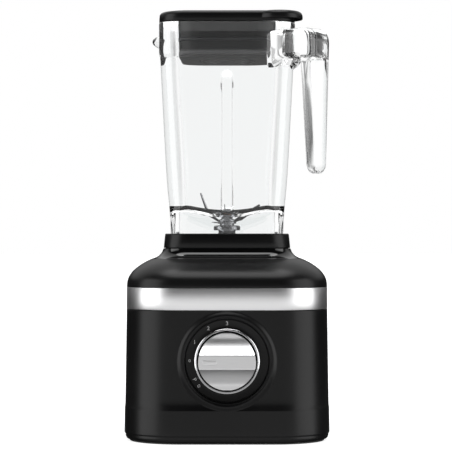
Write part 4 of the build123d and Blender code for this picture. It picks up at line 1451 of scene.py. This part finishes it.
@dataclass
class BladeSet:
    """The four-winged blade set, its hub and its nut."""

    thickness: float = 1.5
    wings: tuple[Wing, ...] = (
        Wing("long_wing", -8.0, 196.2, ((4.0, 0.0), (8.0, 0.2), (12.0, 2.2), (30.4, 14.4)), 10.5, 3.0,
             pitch=-32.0),
        Wing("bent_wing", 172.0, 196.2, ((4.0, 0.0), (8.0, 0.3), (16.6, 6.4), (18.0, 8.4), (24.3, 25.6)),
             10.0, 2.0, pitch=38.0),
        Wing("level_wing", 233.0, 194.4, ((4.0, 0.0), (12.0, 0.0), (21.2, -0.1)), 9.6, 3.2),
        Wing("upright_wing", 82.0, 194.4, ((4.0, 0.0), (10.0, 1.6), (16.0, 8.0), (23.3, 17.6)), 2.4, 0.9,
             True),
    )

    def build(self) -> None:
        """Make and dress the blades, the hub and the nut."""
        for upper, plate, nodes, names in (
                (True, "upper_plate", ("upper_blade",), ("long_wing", "bent_wing")),
                (False, "lower_plate", ("lower_blade",), ("level_wing", "upright_wing"))):
            low, high = (195.3, 197.1) if upper else (193.5, 195.3)
            profile = [(3.0, low), (8.2, low), (8.5, low + 0.3), (8.5, high - 0.3), (8.2, high), (3.0, high)]
            disc = MeshBench().skin(spun(profile, 48), loop=True).finish(plate)
            fit(disc, "blade_set", Paint.STEEL, *nodes)
            for wing in self.wings:
                if wing.name in names:
                    fit(self.wing(wing), "blade_set", Paint.STEEL)
        self.nut()
        self.hub()

    def wing(self, wing: Wing) -> bpy.types.Object:
        """Sweep one wing with a ground edge on each side.

        Args:
            wing: Which wing to make.

        Returns:
            The closed wing, turned to its place.
        """
        rings = []
        for index, (reach, height) in enumerate(wing.path):
            before = wing.path[max(index - 1, 0)]
            after = wing.path[min(index + 1, len(wing.path) - 1)]
            length = hypot(after[0] - before[0], after[1] - before[1])
            normal = Vector((-(after[1] - before[1]) / length, 0, (after[0] - before[0]) / length))
            share = max(0.0, (reach - 8.0) / (wing.path[-1][0] - 8.0))
            half = (wing.root_width + share * (wing.tip_width - wing.root_width)) / 2
            thick = self.thickness / 2 * (1.0 - 0.35 * share)
            if wing.upright:
                half, thick = self.thickness * 0.45, half
            middle = Vector((reach, 0, height + wing.root_z))
            ahead = Vector((normal.z, 0, -normal.x))
            twist = Matrix.Rotation(radians(wing.pitch) * min(1.0, max(0.0, (reach - 6.0) / 8.0)), 3, ahead)
            across, normal = twist @ Vector((0, 1, 0)), twist @ normal
            shape = ((-1.0, 0.12), (-0.72, 1.0), (0.55, 1.0), (1.0, 0.12), (1.0, -0.12), (0.6, -1.0),
                     (-0.72, -1.0), (-1.0, -0.12))
            ring = [(middle + across * half * a + normal * thick * b) * MM for a, b in shape]
            rings.append(ring)
        turn = Matrix.Rotation(radians(wing.angle), 4, "Z")
        return MeshBench().skin(placed(rings, turn), start_cap=True, end_cap=True).finish(wing.name, 20.0)

    def nut(self) -> None:
        """The domed hexagon nut."""
        rings = []
        for z, grow, round_off in ((198.0, 0.0, 0.0), (201.0, 0.0, 0.0), (201.8, 0.0, 0.25),
                                   (202.2, -1.0, 1.0), (203.2, -2.0, 1.0), (203.9, -3.6, 1.0)):
            ring = []
            for i in range(48):
                angle = 2 * pi * i / 48
                hexagon = 4.5 / cos((angle % (pi / 3)) - pi / 6)
                radius = hexagon + round_off * (4.6 - hexagon) + grow
                ring.append(Vector((radius * cos(angle), radius * sin(angle), z)) * MM)
            rings.append(ring)
        nut = MeshBench().skin(rings, start_cap=True, end_cap=True).finish("blade_cap_nut")
        fit(nut, "blade_set", Paint.STEEL, "blade_nut")

    def hub(self) -> None:
        """The bearing housing's polished flange and threaded stem."""
        profile = [(6.0, 191.7), (10.4, 191.7), (11.3, 191.45), (11.85, 190.8), (12.0, 190.0), (12.0, 187.6),
                   (8.0, 187.6)]
        profile += self.thread(8.0, 186.9, 175.4, 12)
        profile += [(7.6, 174.2), (6.0, 174.2)]
        piece = MeshBench().skin(spun(profile, 64), loop=True).finish("hub_flange")
        fit(piece, "jar_assembly", Paint.STEEL, "bearing_housing")

    def thread(self, radius: float, top: float, bottom: float, turns: int) -> list[tuple[float, float]]:
        """Ridges of a screw thread as a turned profile.

        Args:
            radius: Crest radius.
            top: Height of the first crest.
            bottom: Height of the last root.
            turns: How many ridges.

        Returns:
            Radius and height pairs in millimetres.
        """
        ridges = []
        for k in range(turns):
            z = top - (top - bottom) * k / turns
            ridges += [(radius, z), (radius - 0.5, z - 0.45)]
        return ridges


# ---- lid ----------------------------------------------------------------------------
@dataclass
class Lid:
    """The black lid with plug, sealing ribs, thumb tab and centre cap."""

    low_z: float = 372.3
    top_z: float = 382.0
    half: float = 60.8
    radius: float = 22.0
    plug_half: float = 53.0
    plug_low: float = 342.0
    tube: float = 24.0

    def build(self) -> None:
        """Make and dress the lid and the cap."""
        self.cover()
        self.plug()
        self.tab()
        self.gaskets()
        self.cap()

    def cover(self) -> None:
        """The square cover round the filling hole, as one closed skin."""
        h, r = self.half, self.radius
        profile = [square(379.0, h - 3.0, r - 2), square(374.0, h - 2.4, r - 1),
                   square(self.low_z + 0.3, h - 2.2, r), square(self.low_z, h - 1.9, r),
                   square(self.low_z, h - 0.5, r), square(self.low_z + 0.3, h - 0.15, r),
                   square(self.low_z + 0.8, h, r), square(376.0, h - 0.08, r), square(378.6, h - 0.3, r),
                   square(379.6, h - 0.65, r), square(380.5, h - 1.3, r), square(381.2, h - 2.2, r),
                   square(381.7, h - 3.3, r), square(381.95, h - 4.6, r), square(self.top_z, h - 6.5, r)]
        rings = [outline(s, 16, 18) for s in profile]
        rings += [outline(square(z, c, c - 0.01), 16, 18) for c, z in (
            (33.4, 382.0), (32.7, 381.9), (32.4, 381.5), (32.4, 380.8), (26.0, 380.8), (26.0, 379.0))]
        piece = MeshBench().skin(rings, loop=True).finish("lid_cover")
        fit(piece, "lid_assembly", Paint.BLACK_PLASTIC, "lid")

    def plug(self) -> None:
        """The square plug below the cover, with its floor round the filling tube."""
        low, half = self.plug_low, self.plug_half
        outside = [square(low, half - 1.7, 33.0), square(low + 0.4, half - 0.9, 33.6),
                   square(low + 1.2, half - 0.6, 34.0), square(360.0, half - 0.3, 34.0),
                   square(379.0, half, 34.0)]
        inside = [square(379.0, half - 2.4, 32.0), square(low + 2.4, half - 3.0, 32.0)]
        rings = [outline(s, 16, 18) for s in (*outside, *inside)]
        rings += [outline(square(z, c, c - 0.01), 16, 18) for c, z in (
            (26.0, low + 2.4), (26.0, low + 0.5), (26.4, low), (27.6, low))]
        piece = MeshBench().skin(rings, loop=True).finish("lid_plug_cup")
        fit(piece, "lid_assembly", Paint.BLACK_PLASTIC, "lid_plug")
        tube = spun([(26.0, 344.5), (26.0, 378.9), (28.4, 378.9), (28.4, 344.5)], 72)
        piece = MeshBench().skin(tube, loop=True).finish("filler_sleeve")
        fit(piece, "lid_assembly", Paint.BLACK_PLASTIC, "filler_tube")

    def tab(self) -> None:
        """The thumb tab: a dished tongue over the handle, hollow below."""
        rings = []
        outer = [(19.4, 374.4), (20.6, 374.4), (21.0, 374.9), (21.0, 376.6), (20.8, 378.2), (20.1, 379.7),
                 (19.0, 380.8), (17.4, 381.5), (15.0, 381.85), (8.0, 381.95), (0.4, 381.97)]
        inner = [(0.4, 379.6), (17.4, 379.4), (18.9, 378.6), (19.2, 377.0)]
        for radius, z in (*outer, *inner):
            ring = []
            for i in range(96):
                angle = 2 * pi * i / 96
                ring.append(Vector((66.0 + radius * cos(angle), radius * sin(angle), z)) * MM)
            rings.append(ring)
        turn = Matrix.Rotation(radians(-45), 4, "Z")
        piece = MeshBench().skin(placed(rings, turn), loop=True).finish("lid_tab")
        fit(piece, "lid_assembly", Paint.BLACK_PLASTIC)

    def gaskets(self) -> None:
        """Two flexible ribs round the plug."""
        for index, level in enumerate((345.5, 357.0)):
            h = self.plug_half
            stations = [square(level - 1.6, h - 0.9, 33.4), square(level - 1.55, h + 0.6, 34.4),
                        square(level - 0.9, h + 1.35, 34.8), square(level, h + 1.6, 35.0),
                        square(level + 0.9, h + 1.35, 34.8), square(level + 1.55, h + 0.6, 34.4),
                        square(level + 1.6, h - 0.9, 33.4)]
            rings = [outline(s, 12, 16) for s in stations]
            piece = MeshBench().skin(rings, loop=True).finish(f"sealing_rib_{index}")
            fit(piece, "lid_assembly", Paint.SILICONE, *(("lid_gaskets",) if index == 0 else ()))

    def cap(self) -> None:
        """The domed cap and its measuring tube."""
        t = self.tube
        profile = [(22.0, 341.0), (22.2, 340.2), (22.7, 340.0), (23.5, 340.0), (t, 340.4), (t, 381.1),
                   (31.4, 381.1), (31.8, 381.4), (32.0, 382.0), (31.9, 382.9), (31.3, 383.7), (30.2, 384.2),
                   (26.0, 384.75), (20.0, 385.3), (12.0, 385.75), (4.0, 385.97), (0.2, 386.0), (0.2, 383.2),
                   (21.4, 383.2), (22.0, 382.4)]
        piece = MeshBench().skin(spun(profile, 96), loop=True).finish("centre_cap")
        fit(piece, "cap", Paint.BLACK_PLASTIC, "ingredient_cap")


# ---- pieces kept from the CAD model ----------------------------------------------------
class KeptParts:
    """Dresses the CAD nodes that show as they are, by their material slots."""

    def build(self) -> None:
        """Give every remaining node its finish."""
        paints = {paint.name.lower(): paint for paint in Paint}
        for entry in frame["record"]["subparts"]:
            node = frame["nodes"][entry["node"]]
            paint = paints[entry["material_slot"]]
            node.data.materials.clear()
            node.data.materials.append(SHELF.take(paint))
            log.info("%s keeps its shape, in %s", node.name, paint.slot)


# ---- studio -------------------------------------------------------------------------
class Surround(NodeShop):
    """The light all round: white behind, a soft card in front, side boxes and a top box."""

    front_gain = 1.15
    side_gain = 2.7
    top_gain = 4.4
    floor_gain = 0.5
    back_gain = 0.8
    least = 0.03

    def __init__(self, world: bpy.types.World) -> None:
        """Start an empty tree in the world."""
        self.tree = world.node_tree
        self.tree.nodes.clear()

    def bearing(self, *stops: tuple[float, float]) -> Wire:
        """A ramp over the angle from the front, which is 0, to the back, which is 1."""
        turn = self.maths("ARCTAN2", self.maths("ABSOLUTE", self.x), 0.0 - self.y)
        return self.ramp(turn * (1.0 / pi), *stops)

    def height(self, *stops: tuple[float, float]) -> Wire:
        """A ramp over the elevation, from straight down at 0 to straight up at 1."""
        return self.ramp(self.maths("ARCSINE", self.z) * (1.0 / pi) + 0.5, *stops)

    def build(self) -> None:
        """Wire the whole surround."""
        way = self.make("ShaderNodeTexCoord", output="Generated")
        self.x, self.y, self.z = (self.make("ShaderNodeSeparateXYZ", None, {0: way}, axis) for axis in "XYZ")
        front = self.bearing((0.22, 1.0), (0.30, 0.0)) * self.height((0.32, 0.0), (0.40, 1.0), (0.508, 1.0),
                                                                     (0.522, 0.0))
        sides = self.bearing((0.26, 0.0), (0.275, 1.0), (0.51, 1.0), (0.53, 0.0))
        tall = self.height((0.40, 0.0), (0.43, 1.0), (0.70, 1.0), (0.73, 0.0))
        top = self.height((0.86, 0.0), (0.875, 1.0))
        floor = self.height((0.28, 1.0), (0.42, 0.0)) * self.bearing((0.45, 1.0), (0.6, 0.0))
        back = self.bearing((0.56, 0.0), (0.66, 1.0)) * self.height((0.56, 0.0), (0.64, 1.0))
        light = front * self.front_gain + sides * tall * self.side_gain + top * self.top_gain
        light = light + floor * self.floor_gain + back * self.back_gain + self.least
        direct = self.make("ShaderNodeLightPath", output="Is Camera Ray")
        through = self.make("ShaderNodeLightPath", output="Is Transmission Ray")
        wall = self.bearing((0.0, 0.5), (0.22, 0.6), (0.25, 0.2), (0.27, 0.97), (0.50, 0.97), (0.525, 0.12),
                            (0.56, 0.3), (0.60, 0.97))
        seen = wall * self.height((0.30, 1.0), (0.80, 1.0), (0.9, 0.5))
        veiled = self.make("ShaderNodeMix", {"data_type": "FLOAT"}, {0: through, 2: light, 3: seen}, output=0)
        shown = self.make("ShaderNodeMix", {"data_type": "FLOAT"}, {0: direct, 2: veiled, 3: 1.0}, output=0)
        lamp = self.make("ShaderNodeBackground", None, {"Color": (1.0, 1.0, 1.0, 1.0), "Strength": shown})
        self.make("ShaderNodeOutputWorld", None, {"Surface": lamp})


@dataclass
class Studio:
    """A pale floor in a bright surround, and the camera."""

    distance: float = 1.8
    eye: float = 0.1803
    aim: float = 0.1904
    shift: float = -0.0009
    span: float = 0.4145
    sensor: float = 36.0
    deep_bounces: int = 24
    glossy_bounces: int = 12

    def build(self) -> None:
        """Make the whole studio."""
        self.look()
        self.camera()
        self.floor()

    def look(self) -> None:
        """Plain colour handling, light paths deep enough for the jar, and the surround."""
        scene = bpy.context.scene
        scene.view_settings.view_transform = "Standard"
        scene.cycles.max_bounces = self.deep_bounces
        scene.cycles.glossy_bounces = self.glossy_bounces
        scene.cycles.transmission_bounces = self.deep_bounces
        scene.cycles.transparent_max_bounces = self.deep_bounces
        world = bpy.data.worlds.new("surround")
        world.use_nodes = True
        Surround(world).build()
        scene.world = world

    def camera(self) -> None:
        """A level long lens in front of the dial."""
        lens = bpy.data.cameras.new("camera")
        lens.sensor_width = self.sensor
        lens.lens = self.sensor * self.distance / self.span
        lens.clip_start, lens.clip_end = 0.05, 20.0
        holder = bpy.data.objects.new("camera", lens)
        bpy.context.scene.collection.objects.link(holder)
        place = Vector((self.shift, -self.distance, self.eye))
        aim = Vector((self.shift, 0.0, self.aim))
        holder.location = place
        holder.rotation_euler = (aim - place).to_track_quat("-Z", "Y").to_euler()
        bpy.context.scene.camera = holder

    def sheet(self, name: str, corners: Sequence[Sequence[float]], glow: float, tint: float) -> None:
        """A flat stage surface.

        Args:
            name: The object's name.
            corners: Its four corners in metres.
            glow: Light it gives off.
            tint: Its grey.
        """
        mesh = bpy.data.meshes.new(name)
        mesh.from_pydata([Vector(c) for c in corners], [], [(0, 1, 2, 3)])
        shop = NodeShop(name)
        mesh.materials.append(shop.surface({
            "Base Color": (tint, tint, tint, 1.0), "Roughness": 0.9,
            "Emission Color": (1.0, 1.0, 1.0, 1.0), "Emission Strength": glow,
        }))
        piece = bpy.data.objects.new(name, mesh)
        bpy.context.scene.collection.objects.link(piece)
        piece.visible_glossy = False

    def floor(self) -> None:
        """The pale floor, which the polished parts don't mirror."""
        self.sheet("floor", ((-3, -3, 0), (3, -3, 0), (3, 30, 0), (-3, 30, 0)), 0.8, 0.5)


def main() -> None:
    """Build every sub-assembly in order."""
    logging.basicConfig(level=logging.INFO, format="%(name)s: %(message)s")
    KeptParts().build()
    base = MotorBase()
    for assembly in (base, SpeedDial(base), Jar(), BladeSet(), Lid(), Studio()):
        assembly.build()
        log.info("%s is done", type(assembly).__name__)


if __name__ == "__main__":
    main()
